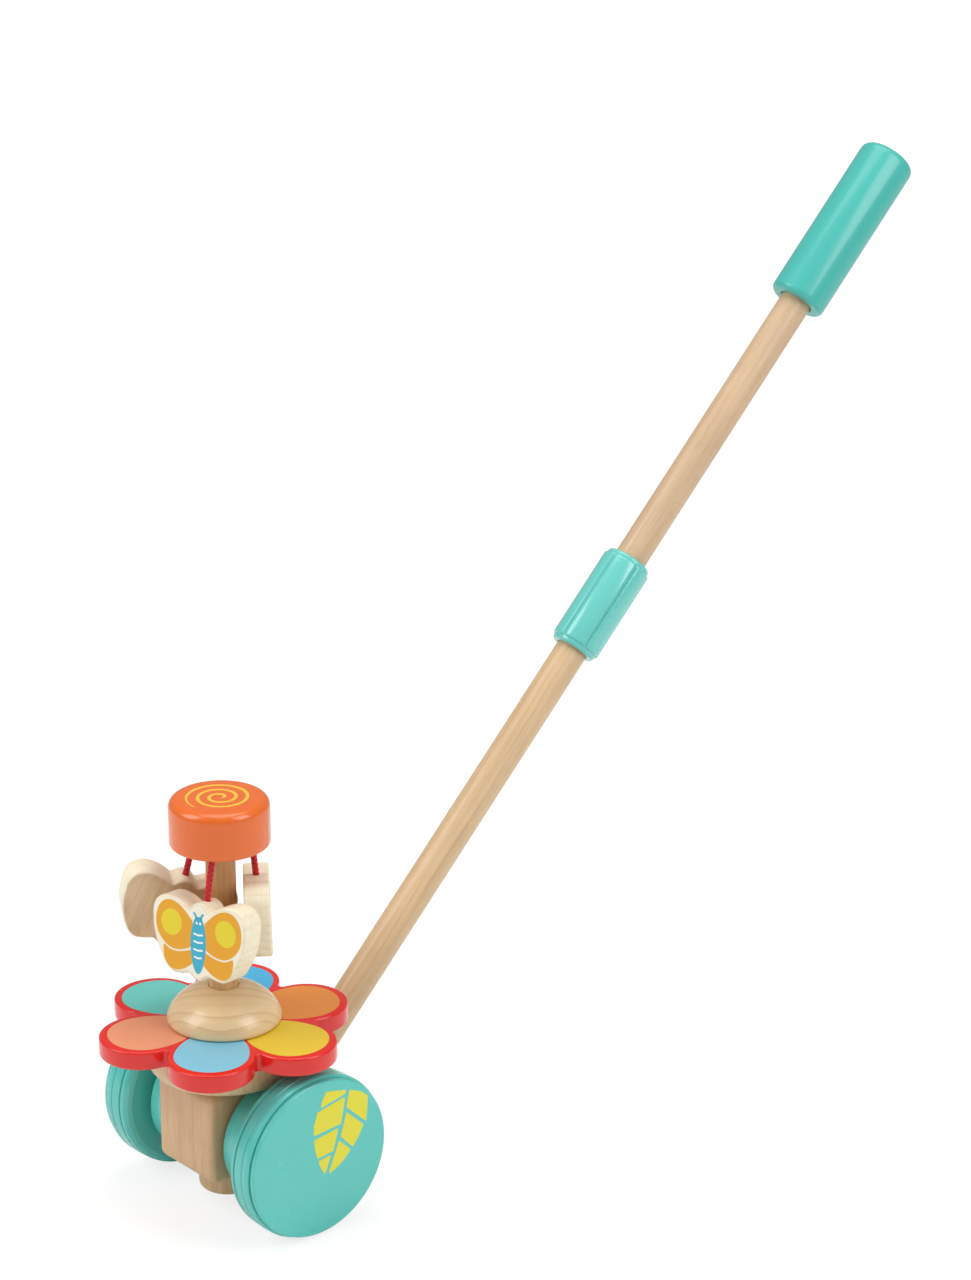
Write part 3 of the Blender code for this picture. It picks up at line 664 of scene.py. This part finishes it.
def leaf(sign, side_frame):
    to_local = side_frame.inverted()
    fields = []
    for field in LEAF_FIELDS:
        spots = [to_local @ (Vector((sign * COVER_FACE, AXLE.y + y, AXLE.z + z)) * MM)
                 for y, z in field]
        outline = soft_corners([(spot.x / MM, spot.y / MM) for spot in spots], 0.5)
        fields.append(patch(outline, COVER_FACE - 0.1, COVER_FACE + 0.06))
    return merge(fields)


for side, sign in SIDES:
    side_frame = along_x(sign)
    add_extra("leaf_" + side, leaf(sign, side_frame), side_frame, LEAF, "wheelset")


# ============================================================== axle block
ROD_R = 7.5
ROD_HOLE_R = ROD_R + 0.3
SCREW_Y = 24.0                  # stepped hole, from the axle along +Y
BLOCK_CORNER = 5.0              # rounding of the long edges, seen along X
BLOCK_EDGE = 3.0                # rounding round both end faces


def slab(low, high, corner_steps=10, edge_steps=8):
    """Block between two corners, rounded all over, its length along X."""
    def outline(depth):
        corner = max(BLOCK_CORNER - depth, 0.6)
        y_low, y_high = low.y - AXLE.y + depth + corner, high.y - AXLE.y - depth - corner
        z_low, z_high = low.z + depth + corner, high.z - depth - corner
        points = []
        for centre_y, centre_z, start in ((y_high, z_high, 0), (y_low, z_high, 90),
                                          (y_low, z_low, 180), (y_high, z_low, 270)):
            for i in range(corner_steps + 1):
                turn = math.radians(start + 90 * i / corner_steps)
                points.append((centre_y + corner * math.cos(turn),
                               centre_z + corner * math.sin(turn)))
        return points

    turns = [math.radians(90 * (1 - i / edge_steps)) for i in range(edge_steps + 1)]
    stations = [(low.x + BLOCK_EDGE * (1 - math.sin(turn)), BLOCK_EDGE * (1 - math.cos(turn)))
                for turn in turns]
    stations += [(high.x - (x - low.x), depth) for x, depth in reversed(stations)]
    shape = bmesh.new()
    rings = [[shape.verts.new((x, y, z)) for y, z in outline(depth)] for x, depth in stations]
    loft(shape, rings, flipped=True)
    cap(shape, rings)
    bmesh.ops.recalc_face_normals(shape, faces=shape.faces)
    return shape


rod_low, rod_high = rod_span("lower_rod")
block = add_object("axle_block_fine", slab(*box_mm("axle_block")), place(0, AXLE.y, 0),
                   BLOCK_WOOD)
bore(block, [
    (cylinder(AXLE_HOLE_R, -30, 30), along_x(1)),
    (cylinder(3.4, 15, 70), place(0, SPIN.y, 0)),
    (cylinder(ROD_HOLE_R, rod_low - 0.6, rod_low + 60), ROD_FRAME),
    ([(0, 15), (3.6, 15), (3.6, 22.2), (1.7, 24.2), (1.7, 45), (0, 45)],
     place(0, AXLE.y + SCREW_Y, 0)),
])
stand_in(block, "base", "axle_block")


# ============================================================== stick, grip, collar
def rod(low, high):
    return lathe(rounded([(0, low), (ROD_R, low, 0.8), (ROD_R, high, 0.8), (0, high)], 3), 96)


def grip(low, high, rod_end, radius=13.4):
    """Handle with rounded ends and a blind hole for the stick."""
    return lathe(rounded([
        (7.7, low + 0.9, 0.3), (8.3, low, 0.5), (radius, low, 4.4), (radius, high, 4.0),
        (0, high), (0, rod_end + 0.6), (7.8, rod_end + 0.6)], 8), 160)


upper_low, upper_high = rod_span("upper_rod")
add_fine("lower_rod", rod(rod_low, rod_high), ROD_FRAME, ROD_WOOD, "base")
add_fine("upper_rod", rod(upper_low, upper_high), ROD_FRAME, ROD_WOOD_UPPER, "handle")
add_fine("hand_grip", grip(*rod_span("hand_grip"), upper_high), ROD_FRAME, TEAL_GRIP, "handle")

COLLAR_R, RIB_R = 10.7, 11.65
COLLAR_EDGE = 1.5               # rounding of the sleeve's ends
RIB_START = 2.3                 # from the sleeve's end to the ribs
RIB_END_LENGTH = 1.1            # over which the ribs rise
GROOVE_PHASE = 37.0             # degrees


def collar(low, high, per_rib=32):
    """Sleeve with six broad rounded ribs parted by narrow grooves."""
    count = 6 * per_rib

    def lift(k):
        """0 in a groove, 1 on a rib, with rounded rib edges."""
        angle = (k % per_rib) / per_rib * 60.0          # degrees from a groove's middle
        angle = min(angle, 60.0 - angle)
        rise = max(0.0, min(1.0, (angle - 2.6) / 3.6))
        return math.sqrt(max(0.0, 1 - (1 - rise) ** 2))

    # (distance along the stick, radius, share of the rib height)
    half = [(low, COLLAR_R - COLLAR_EDGE, 0)]
    half += [(low + COLLAR_EDGE * (1 - math.cos(math.radians(angle))),
              COLLAR_R - COLLAR_EDGE * (1 - math.sin(math.radians(angle))), 0)
             for angle in (20, 40, 60, 80, 90)]
    rib_low = low + RIB_START
    half += [(rib_low, COLLAR_R, 0)]
    half += [(rib_low + RIB_END_LENGTH * (1 - math.cos(math.radians(angle))), COLLAR_R,
              math.sin(math.radians(angle))) for angle in (30, 60, 90)]
    middle = (low + high) / 2
    other_half = [(2 * middle - z, radius, share) for z, radius, share in reversed(half)]
    stations = [(low, ROD_HOLE_R, 0)] + half + other_half + [(high, ROD_HOLE_R, 0)]

    shape = bmesh.new()
    rings = []
    for z, radius, share in stations:
        ring = []
        for k in range(count):
            turn = math.radians(GROOVE_PHASE) + 2 * math.pi * k / count
            ribbed = radius + (RIB_R - COLLAR_R) * share * lift(k)
            ring.append(shape.verts.new((ribbed * math.cos(turn), ribbed * math.sin(turn), z)))
        rings.append(ring)
    loft(shape, rings + rings[:1])
    return shape


add_fine("rod_collar", collar(*rod_span("rod_collar")), ROD_FRAME, TEAL_COLLAR, "base",
         smooth_angle=50)


# ============================================================== carousel: cap and bowl
PIN_HOLE_R = 3.3
BOWL_R, BOWL_FLOOR_R, BOWL_TOP = 35.2, 29.6, 79.3

add_fine("bottom_cap", lathe(rounded([
    (0, 7.0), (12.95, 7.0, 3.0), (12.95, 20.3, 1.0), (PIN_HOLE_R, 20.3), (PIN_HOLE_R, 8.2),
    (0, 8.2)], 6), 96), SPIN_FRAME, CAP_WOOD, "carousel")


def bowl_outline():
    """Flat bottom, swelling side and a small rounded upper rim."""
    swell = [(BOWL_FLOOR_R + (BOWL_R - BOWL_FLOOR_R) * math.sin(math.radians(angle)) ** 0.9,
              76.2 - 10.75 * math.cos(math.radians(angle))) for angle in range(6, 91, 7)]
    rim = rounded([(BOWL_R, 76.3), (BOWL_R, BOWL_TOP, 0.7), (34.0, BOWL_TOP)], 4)
    return [(PIN_HOLE_R, 65.3), (29.3, 65.3)] + swell + rim + [(PIN_HOLE_R, BOWL_TOP)]


add_fine("friction_disc", lathe(bowl_outline(), 160), SPIN_FRAME, BOWL_WOOD, "carousel")

# ============================================================== carousel: flower
PETAL_R = 18.75
PETAL_TIP = 56.8                # from the spin line to a petal's tip
NOTCH_R = 39.3                  # from the spin line to a notch between petals
PETAL_PHASE = 14.17             # degrees to the first petal
PLATE_EDGE = 0.95


def flower_outline(depth=0.0, petal_steps=22, fillet_steps=8):
    """Six round petals joined by fillets, the whole moved in by depth."""
    petal_at = PETAL_TIP - PETAL_R
    half = math.radians(30)
    # the fillet's centre, set so that its arc touches the petal and the notch
    lead = PETAL_R - NOTCH_R
    fillet_at = (petal_at ** 2 - lead ** 2) / (2 * (lead + petal_at * math.cos(half)))
    fillet_r = fillet_at - NOTCH_R + depth
    meet = math.atan2(fillet_at * math.sin(half), fillet_at * math.cos(half) - petal_at)
    radius = PETAL_R - depth
    points = []
    for k in range(6):
        base = math.radians(PETAL_PHASE + 60 * k)
        turns = [-meet + 2 * meet * i / petal_steps for i in range(petal_steps + 1)]
        points += rotated([(petal_at + radius * math.cos(turn), radius * math.sin(turn))
                           for turn in turns], base)
        centre_x = fillet_at * math.cos(base + half)
        centre_y = fillet_at * math.sin(base + half)
        start = base + meet + math.pi
        sweep = -2 * (meet - half)
        for i in range(1, fillet_steps):
            turn = start + sweep * i / fillet_steps
            points.append((centre_x + fillet_r * math.cos(turn),
                           centre_y + fillet_r * math.sin(turn)))
    return points


def petal_field(outer_steps=40, inner_steps=21):
    """Painted field of a petal along +X: round outside, running in under
    the dome."""
    centre_x, half_width, outer_reach, inner_reach = 37.5, 16.1, 15.5, 23.2
    turns = [-math.pi / 2 + math.pi * i / outer_steps for i in range(outer_steps + 1)]
    outer = [(centre_x + outer_reach * math.cos(turn), half_width * math.sin(turn))
             for turn in turns]
    turns = [math.pi / 2 + math.radians(50) * i / inner_steps
             for i in range(1, inner_steps + 1)]
    inner = [(centre_x + inner_reach * math.cos(turn), half_width * math.sin(turn))
             for turn in turns]
    return outer + inner + [(x, -y) for x, y in reversed(inner)]


plate_low, plate_high = box_mm("flower_plate")
add_fine("flower_plate",
         soft_plate(flower_outline, plate_low.z, plate_high.z, PLATE_EDGE, PIN_HOLE_R),
         SPIN_FRAME, RED, "carousel")
for k, material in enumerate(PETAL_PAINTS):
    field = rotated(petal_field(), math.radians(PETAL_PHASE + 60 * k))
    add_extra("petal_paint_%d" % (k + 1), patch(field, plate_high.z - 0.1, plate_high.z + 0.07),
              SPIN_FRAME, material, "carousel")

# ============================================================== carousel: dome and post
POST_R = 6.5
POST_HOLE_R = POST_R + 0.3
DOME_R, DOME_H, DOME_Z = 25.2, 16.8, 88.3
DOME_TURN = -41                 # degrees, turns the grain about the spin line


def dome_outline(steps=40):
    """Squashed dome, from its hole along the base and up to the hole's top."""
    points = [(POST_HOLE_R, 0), (DOME_R - 0.9, 0), (DOME_R - 0.35, 0.2), (DOME_R - 0.08, 0.55)]
    top = DOME_H * (1 - (POST_HOLE_R / DOME_R) ** (1 / 0.56)) ** (1 / 1.9)
    for i in range(1, steps + 1):
        height = top * (1 - (1 - i / steps) ** 1.5)
        if height > 0.9:
            points.append((DOME_R * (1 - (height / DOME_H) ** 1.9) ** 0.56, height))
    return points


add_fine("dome", lathe(dome_outline(), 160),
         place(SPIN.x, SPIN.y, DOME_Z) @ Matrix.Rotation(math.radians(DOME_TURN), 4, "Z"),
         DOME_WOOD, "carousel")

post_low, post_high = box_mm("post")
add_fine("post", lathe([
    (PIN_HOLE_R, post_low.z), (POST_R, post_low.z), (POST_R, post_high.z - 1),
    (POST_R - 1, post_high.z), (0, post_high.z), (0, 106), (PIN_HOLE_R, 106)], 96),
    SPIN_FRAME, POST_WOOD, "carousel")

# ============================================================== carousel: knob
KNOB_R, KNOB_LOW, KNOB_TOP = 21.84, 170.85, 192.08
SOCKET_TOP = KNOB_LOW + 16      # blind end of the post's socket

knob = add_object("knob_fine", lathe(rounded([
    (POST_HOLE_R, KNOB_LOW), (KNOB_R, KNOB_LOW, 1.6), (KNOB_R, KNOB_TOP, 4.0), (0, KNOB_TOP),
    (0, SOCKET_TOP), (POST_HOLE_R, SOCKET_TOP)], 10), 192), SPIN_FRAME, ORANGE)
# a blind hole with a flared mouth for each cord
CORD_HOLE = [(0, KNOB_LOW - 3), (3.4, KNOB_LOW - 3), (3.4, KNOB_LOW - 0.3),
             (2.6, KNOB_LOW + 0.5), (2.6, KNOB_LOW + 9), (0, KNOB_LOW + 9)]
bore(knob, [(CORD_HOLE, place(pivot.x, pivot.y, 0)) for pivot in PIVOTS])
stand_in(knob, "carousel", "knob")


def spiral(steps=220):
    """Painted spiral band on the knob's top, tapered at both ends."""
    turns, outer_r, inner_r, width = 2.8, 14.9, 1.2, 1.55
    start = math.radians(277)
    centre_x, centre_y = 0.4 * math.cos(math.radians(49)), 0.4 * math.sin(math.radians(49))
    low, high = KNOB_TOP - 0.1, KNOB_TOP + 0.06
    shape = bmesh.new()
    rows = []
    for i in range(steps + 1):
        share = i / steps
        radius = outer_r + (inner_r - outer_r) * share
        turn = start - 2 * math.pi * turns * share
        half = width / 2 * min(1.0, 0.35 + 8 * share, 0.35 + 8 * (1 - share))
        rows.append([shape.verts.new((centre_x + edge * math.cos(turn),
                                      centre_y + edge * math.sin(turn), z))
                     for edge, z in ((radius + half, low), (radius + half, high),
                                     (radius - half, high), (radius - half, low))])
    loft(shape, rows, flipped=True)
    shape.faces.new(rows[0])
    shape.faces.new(list(reversed(rows[-1])))
    bmesh.ops.recalc_face_normals(shape, faces=shape.faces)
    return shape


add_extra("knob_spiral", spiral(), SPIN_FRAME, KNOB_LINE, "carousel")

# ============================================================== butterfly outline
WING_T = 11.3
WING_EDGE = 1.0

# centre x, centre y, half-length x, half-length y, tilt (radians); the outline
# wraps these ellipses and their mirror images
WING_ELLIPSES = ((8.52, 2.10, 20.55, 12.08, 0.78), (8.89, -5.44, 11.05, 8.69, -0.50),
                 (0.0, 1.05, 9.15, 17.31, 0.0), (17.67, -2.41, 5.0, 13.70, -0.44))


def ellipse_reach(turn, centre_x, centre_y, half_x, half_y, tilt):
    """How far a ray from the origin runs to the far side of an ellipse."""
    cosine, sine = math.cos(tilt), math.sin(tilt)
    x, y = math.cos(turn), math.sin(turn)
    # ray and start point in the frame where the ellipse is a unit circle
    ray_x, ray_y = (cosine * x + sine * y) / half_x, (-sine * x + cosine * y) / half_y
    from_x = (-cosine * centre_x - sine * centre_y) / half_x
    from_y = (sine * centre_x - cosine * centre_y) / half_y
    square = ray_x * ray_x + ray_y * ray_y
    linear = 2 * (from_x * ray_x + from_y * ray_y)
    constant = from_x * from_x + from_y * from_y - 1
    inside = linear * linear - 4 * square * constant
    return (-linear + math.sqrt(inside)) / (2 * square) if inside > 0 else 0.0


def butterfly_outline(count=288, smooth_rounds=4):
    turns = [2 * math.pi * i / count for i in range(count)]
    radii = [max(max(ellipse_reach(turn, x, y, half_x, half_y, tilt),
                     ellipse_reach(turn, -x, y, half_x, half_y, -tilt))
                 for x, y, half_x, half_y, tilt in WING_ELLIPSES) for turn in turns]
    for _ in range(smooth_rounds):
        radii = [(radii[i - 1] + 2 * radii[i] + radii[(i + 1) % count]) / 4
                 for i in range(count)]
    return [(radius * math.cos(turn), radius * math.sin(turn))
            for radius, turn in zip(radii, turns)]


# ============================================================== butterfly prints
# (x, y) on the outer face; the wing fields are also mirrored
UPPER_FIELD = [
    (2.9, 9.6), (5.0, 11.4), (8.0, 14.3), (11.5, 16.4), (15.5, 17.4), (19.6, 16.2),
    (22.6, 12.4), (23.5, 7.0), (22.4, 2.0), (19.2, -1.8), (15.2, -4.2), (11.0, -4.3),
    (7.0, -3.2), (3.6, -1.6), (3.6, 4.0)]
LOWER_FIELD = [
    (3.2, -2.7), (7.0, -4.1), (11.0, -5.1), (15.2, -5.0), (18.0, -3.4), (18.9, -2.9),
    (19.1, -6.0), (18.4, -9.8), (15.9, -12.8), (12.4, -13.6), (8.6, -12.6), (5.2, -10.7),
    (2.4, -8.4)]
BODY_HALF = [(0.0, 12.4), (1.8, 11.8), (3.1, 8.8), (4.1, 3.8), (4.2, -1.6), (3.4, -7.2),
             (2.0, -11.6), (0.0, -13.5)]
FEELER = [(0.55, 11.2), (1.1, 12.8), (2.3, 14.2), (3.1, 13.6), (2.1, 12.5), (1.6, 10.9)]
# height of each bar across the body, half its width
BODY_BARS = ((4.1, 2.6), (0.8, 2.6), (-2.7, 2.6), (-6.1, 2.2))


def wing_prints(face):
    """Printed fields on a face at the given height: (label, material, shape)."""
    low, high = face - 0.08, face + 0.05
    over, top = high + 0.04, high + 0.08        # later prints stand on earlier ones
    orange, yellow, blue, white = [], [], [], []
    for flip in (list, mirror):
        orange.append(patch(flip(chaikin(UPPER_FIELD)), low, high))
        orange.append(patch(flip(chaikin(LOWER_FIELD)), low, high))
        yellow.append(patch(flip(ellipse(14.7, 7.4, 5.6, 5.9, tilt=0.25)), low, over))
    blue.append(patch(chaikin(BODY_HALF + mirror(BODY_HALF)[1:-1]), low, over))
    for sign in (1, -1):
        feeler = [(sign * x, y) for x, y in FEELER]
        blue.append(patch(chaikin(feeler, rounds=2), low, over))
        white.append(patch(ellipse(sign * 0.95, 9.4, 0.55, 0.62, count=24), low, top))
    for y, half in BODY_BARS:
        bar = [(-half, y + 0.1), (0, y - 0.35), (half, y + 0.1),
               (half, y + 0.85), (0, y + 0.45), (-half, y + 0.85)]
        white.append(patch(soft_corners(bar, 0.3), low, top))
    return (("wings", WING_ORANGE, merge(orange)), ("spots", WING_YELLOW, merge(yellow)),
            ("bug", BUG_BLUE, merge(blue)), ("marks", BUG_WHITE, merge(white)))


# ============================================================== cord
CORD_R = 1.63
STRANDS = 6
STRAND_R = 0.60
WEAVE = 0.10                    # how far a strand dives and rises
BRAID_PITCH = 6.8


def strand(index, length, sides=8):
    """One strand, flattened; even ones wind one way, odd ones the other."""
    pairs = STRANDS / 2
    steps = max(24, int(length / 0.35))
    sense = 1 if index % 2 == 0 else -1
    base = 2 * math.pi * (index // 2) / pairs + (math.pi / pairs if sense < 0 else 0.0)
    path = []
    for k in range(steps + 1):
        z = length * k / steps
        turn = base + sense * 2 * math.pi * z / BRAID_PITCH
        weave = math.cos(pairs * (2 * math.pi * z / BRAID_PITCH) + (0 if sense > 0 else math.pi))
        radius = CORD_R - STRAND_R - 0.10 + WEAVE * weave
        path.append(Vector((radius * math.cos(turn), radius * math.sin(turn), z)))
    shape = bmesh.new()
    rings = []
    for k, point in enumerate(path):
        ahead = (path[min(k + 1, steps)] - path[max(k - 1, 0)]).normalized()
        outward = Vector((point.x, point.y, 0)).normalized()
        sideways = ahead.cross(outward).normalized()
        normal = sideways.cross(ahead)
        turns = [2 * math.pi * i / sides for i in range(sides)]
        rings.append([shape.verts.new(point + normal * (STRAND_R * 0.85 * math.cos(turn)) +
                                      sideways * (STRAND_R * 1.15 * math.sin(turn)))
                      for turn in turns])
    loft(shape, rings)
    cap(shape, rings)
    bmesh.ops.recalc_face_normals(shape, faces=shape.faces)
    return shape


def braid(length):
    """Round braid along +Z, its strands diving over and under round a core."""
    strands = [strand(i, length) for i in range(STRANDS)]
    core = lathe(cylinder(CORD_R - STRAND_R - 0.10, 0.1, length - 0.1), 24)
    bmesh.ops.recalc_face_normals(core, faces=core.faces)
    return merge(strands + [core])


# ============================================================== butterfly placing
def polygon_height(points):
    """Height of a closed outline's centroid."""
    total = moment = 0.0
    for (x0, y0), (x1, y1) in zip(points, points[1:] + points[:1]):
        cross = x0 * y1 - x1 * y0
        total += cross
        moment += (y0 + y1) * cross
    return moment / (3 * total)


def outer_face(mesh):
    """Polygons of a CAD plate's flat side that looks away from the spin line."""
    sides = {}
    for polygon in mesh.polygons:
        key = tuple(round(part, 2) for part in polygon.normal)
        sides.setdefault(key, []).append(polygon)
    flats = sorted(sides.values(), key=lambda side: sum(part.area for part in side))[-2:]
    total = sum((Vector(vert.co) for vert in mesh.vertices), Vector())
    centre = total / len(mesh.vertices) / MM
    outward = Vector((centre.x - SPIN.x, centre.y - SPIN.y, 0))
    return max(flats, key=lambda side: side[0].normal.dot(outward))


def plate_frame(node):
    """Middle and axes of a butterfly, from the area, centroid and second
    moments of its CAD plate's outer face."""
    mesh = NODES[node].data
    face = outer_face(mesh)
    normal = sum((part.normal * part.area for part in face), Vector()).normalized()
    level_y = (Vector((0, 0, 1)) - normal * normal.z).normalized()
    level_x = level_y.cross(normal)
    triangles = []
    for polygon in face:
        corners = [Vector(mesh.vertices[k].co) / MM for k in polygon.vertices]
        triangles += [(corners[0], second, third)
                      for second, third in zip(corners[1:], corners[2:])]
    area = 0.0
    middle = Vector()
    for first, second, third in triangles:
        weight = (second - first).cross(third - first).length / 2
        area += weight
        middle += (first + second + third) / 3 * weight
    middle /= area
    moment_xx = moment_yy = moment_xy = 0.0
    for triangle in triangles:
        first, second, third = triangle
        weight = (second - first).cross(third - first).length / 24
        arms = [corner - middle for corner in triangle]
        for arm in arms + [arms[0] + arms[1] + arms[2]]:
            x, y = arm.dot(level_x), arm.dot(level_y)
            moment_xx += weight * x * x
            moment_yy += weight * y * y
            moment_xy += weight * x * y
    roll = 0.5 * math.atan2(2 * moment_xy, moment_xx - moment_yy)
    x_axis = (level_x * math.cos(roll) + level_y * math.sin(roll)).normalized()
    y_axis = normal.cross(x_axis)
    origin = middle - normal * (WING_T / 2) - y_axis * polygon_height(butterfly_outline())
    return origin, x_axis, y_axis, normal


def build_butterfly(k, pivot):
    """Butterfly k with its prints, its cord and the cord's end in the knob."""
    cord_dir = joint_axis("butterfly_%d_twist" % k)
    head = joint_point("butterfly_%d_twist" % k)
    origin, x_axis, y_axis, normal = plate_frame("butterfly_%d" % k)
    wing_frame = axes_matrix(origin, x_axis, y_axis, normal)
    side = cord_dir.cross(normal).normalized()
    outline = butterfly_outline()
    face = WING_T / 2
    body = "butterfly_%d_body" % k

    wing = add_object("butterfly_%d_fine" % k,
                      soft_plate(lambda depth: inset(outline, depth), -face, face, WING_EDGE),
                      wing_frame, WING_WOOD_UPRIGHT if k == 3 else WING_WOOD, WING_BACK_SHADED)
    bore(wing, [(cylinder(1.65, -8, 6),
                 axes_matrix(head, side, cord_dir.cross(side), cord_dir))])
    # the inner face takes the darker wood, which is painted shade
    for polygon in wing.data.polygons:
        polygon.material_index = 1 if polygon.normal.z < -0.97 else 0
    stand_in(wing, body, "butterfly_%d" % k)

    ground_top = face + 0.02
    add_extra("butterfly_%d_ground" % k, patch(inset(outline, 1.25), face - 0.1, ground_top),
              wing_frame, WING_CREAM, body)
    for label, material, shape in wing_prints(ground_top):
        add_extra("butterfly_%d_%s" % (k, label), shape, wing_frame, material, body)

    # from the pivot down into the butterfly
    down = axes_matrix(pivot, side, side.cross(cord_dir), -cord_dir)
    add_fine("cord_%d" % k, braid((pivot - head).length + 7.2), down, CORD, "hanger_%d" % k,
             smooth_angle=60)
    add_extra("cord_%d_stub" % k, braid(5.4), place(pivot.x, pivot.y, pivot.z + 1.3), CORD,
              "carousel", smooth_angle=60)


for i, pivot in enumerate(PIVOTS):
    build_butterfly(i + 1, pivot)

# ============================================================== hardware keeps its CAD shape
for node, material in (("axle", STEEL), ("pivot_pin", STEEL), ("rod_screw", STEEL),
                       ("axle_washer_left", NYLON), ("axle_washer_right", NYLON),
                       ("thrust_washer", NYLON)):
    slots = NODES[node].data.materials
    slots.clear()
    slots.append(material)


# ============================================================== floor and world
def floor_material():
    """White floor that, to the camera, fades with distance from the toy into
    an even glow as bright as the backdrop, so that no horizon shows."""
    shader = Shader("floor_white")
    shader.surface({"Base Color": (0.93, 0.93, 0.93, 1), "Roughness": 0.60,
                    "Specular IOR Level": 0.15})
    glow = shader.add("ShaderNodeEmission", {"Color": (1, 1, 1, 1), "Strength": 1.10})
    distance = shader.add("ShaderNodeVectorMath", {
        0: shader.position, 1: (0.0, SPIN.y * MM + 0.02, 0.0)}, operation="DISTANCE")
    fade = shader.add("ShaderNodeMapRange", {
        "From Min": 0.10, "From Max": 0.34, "To Min": 0.70,
        "Value": distance.outputs["Value"]}, interpolation_type="SMOOTHSTEP")
    ray = shader.add("ShaderNodeLightPath")
    blend = shader.add("ShaderNodeMixShader")
    share = shader.math("MULTIPLY", fade.outputs["Result"], ray.outputs["Is Camera Ray"])
    shader.feed(blend, {0: share, 1: shader.bsdf.outputs[0], 2: glow.outputs[0]})
    shader.feed(shader.out, {"Surface": blend.outputs[0]})
    return shader.mat


FLOOR_HALF = 30                 # metres
floor_mesh = bpy.data.meshes.new("floor")
floor_mesh.from_pydata([(x * FLOOR_HALF, y * FLOOR_HALF, 0)
                        for x, y in ((-1, -1), (1, -1), (1, 1), (-1, 1))], [], [(0, 1, 2, 3)])
floor = bpy.data.objects.new("floor", floor_mesh)
scene.collection.objects.link(floor)
floor_mesh.materials.append(floor_material())


def build_world(light_strength, camera_strength):
    """White world, dimmer as a light than it looks to the camera."""
    world = bpy.data.worlds.new("studio")
    scene.world = world
    world.use_nodes = True
    tree = world.node_tree
    background = tree.nodes["Background"]
    background.inputs["Color"].default_value = (1.0, 1.0, 1.0, 1)
    ray = tree.nodes.new("ShaderNodeLightPath")
    strength = tree.nodes.new("ShaderNodeMapRange")
    strength.inputs["To Min"].default_value = light_strength
    strength.inputs["To Max"].default_value = camera_strength
    tree.links.new(ray.outputs["Is Camera Ray"], strength.inputs["Value"])
    tree.links.new(strength.outputs["Result"], background.inputs["Strength"])


build_world(light_strength=0.32, camera_strength=1.0)

# ============================================================== lights and camera
# view directions on the floor: to the camera's right, and towards the camera
VIEW_ANGLE = math.radians(49.246)
VIEW_RIGHT = Vector((math.cos(VIEW_ANGLE), math.sin(VIEW_ANGLE), 0))
VIEW_NEAR = Vector((math.sin(VIEW_ANGLE), -math.cos(VIEW_ANGLE), 0))
STAND = Vector((0, AXLE.y * MM, 0))


def studio(right, near, height):
    """Point in metres, from the floor under the axle."""
    return STAND + VIEW_RIGHT * right + VIEW_NEAR * near + Vector((0, 0, height))


def area_light(name, location, size, power, size_y=None):
    """Area light aimed at the toy; square unless size_y is given."""
    light = bpy.data.lights.new(name, "AREA")
    light.shape = "RECTANGLE" if size_y else "SQUARE"
    light.size = size
    if size_y:
        light.size_y = size_y
    light.energy = power
    obj = bpy.data.objects.new(name, light)
    scene.collection.objects.link(obj)
    obj.location = location
    aim = studio(right=0, near=0, height=0.10) - location
    obj.rotation_euler = aim.to_track_quat("-Z", "Y").to_euler()


area_light("softbox_left", studio(right=-1.25, near=0.35, height=1.25),
           size=0.9, size_y=1.2, power=15)
area_light("softbox_right", studio(right=1.20, near=0.60, height=1.20),
           size=0.8, size_y=1.1, power=13)
area_light("overhead", studio(right=0.1, near=-0.25, height=1.9), size=1.3, power=15)

camera_data = bpy.data.cameras.new("camera")
camera_data.sensor_width = 36.0
camera_data.lens = 110.84
camera_data.clip_end = 100
camera = bpy.data.objects.new("camera", camera_data)
scene.collection.objects.link(camera)
camera.location = STAND + Vector((1.247031, -0.933668, 0.844348))
camera.rotation_euler = (math.radians(69.436), 0, VIEW_ANGLE)
scene.camera = camera

scene.view_settings.view_transform = "Standard"
scene.view_settings.look = "None"
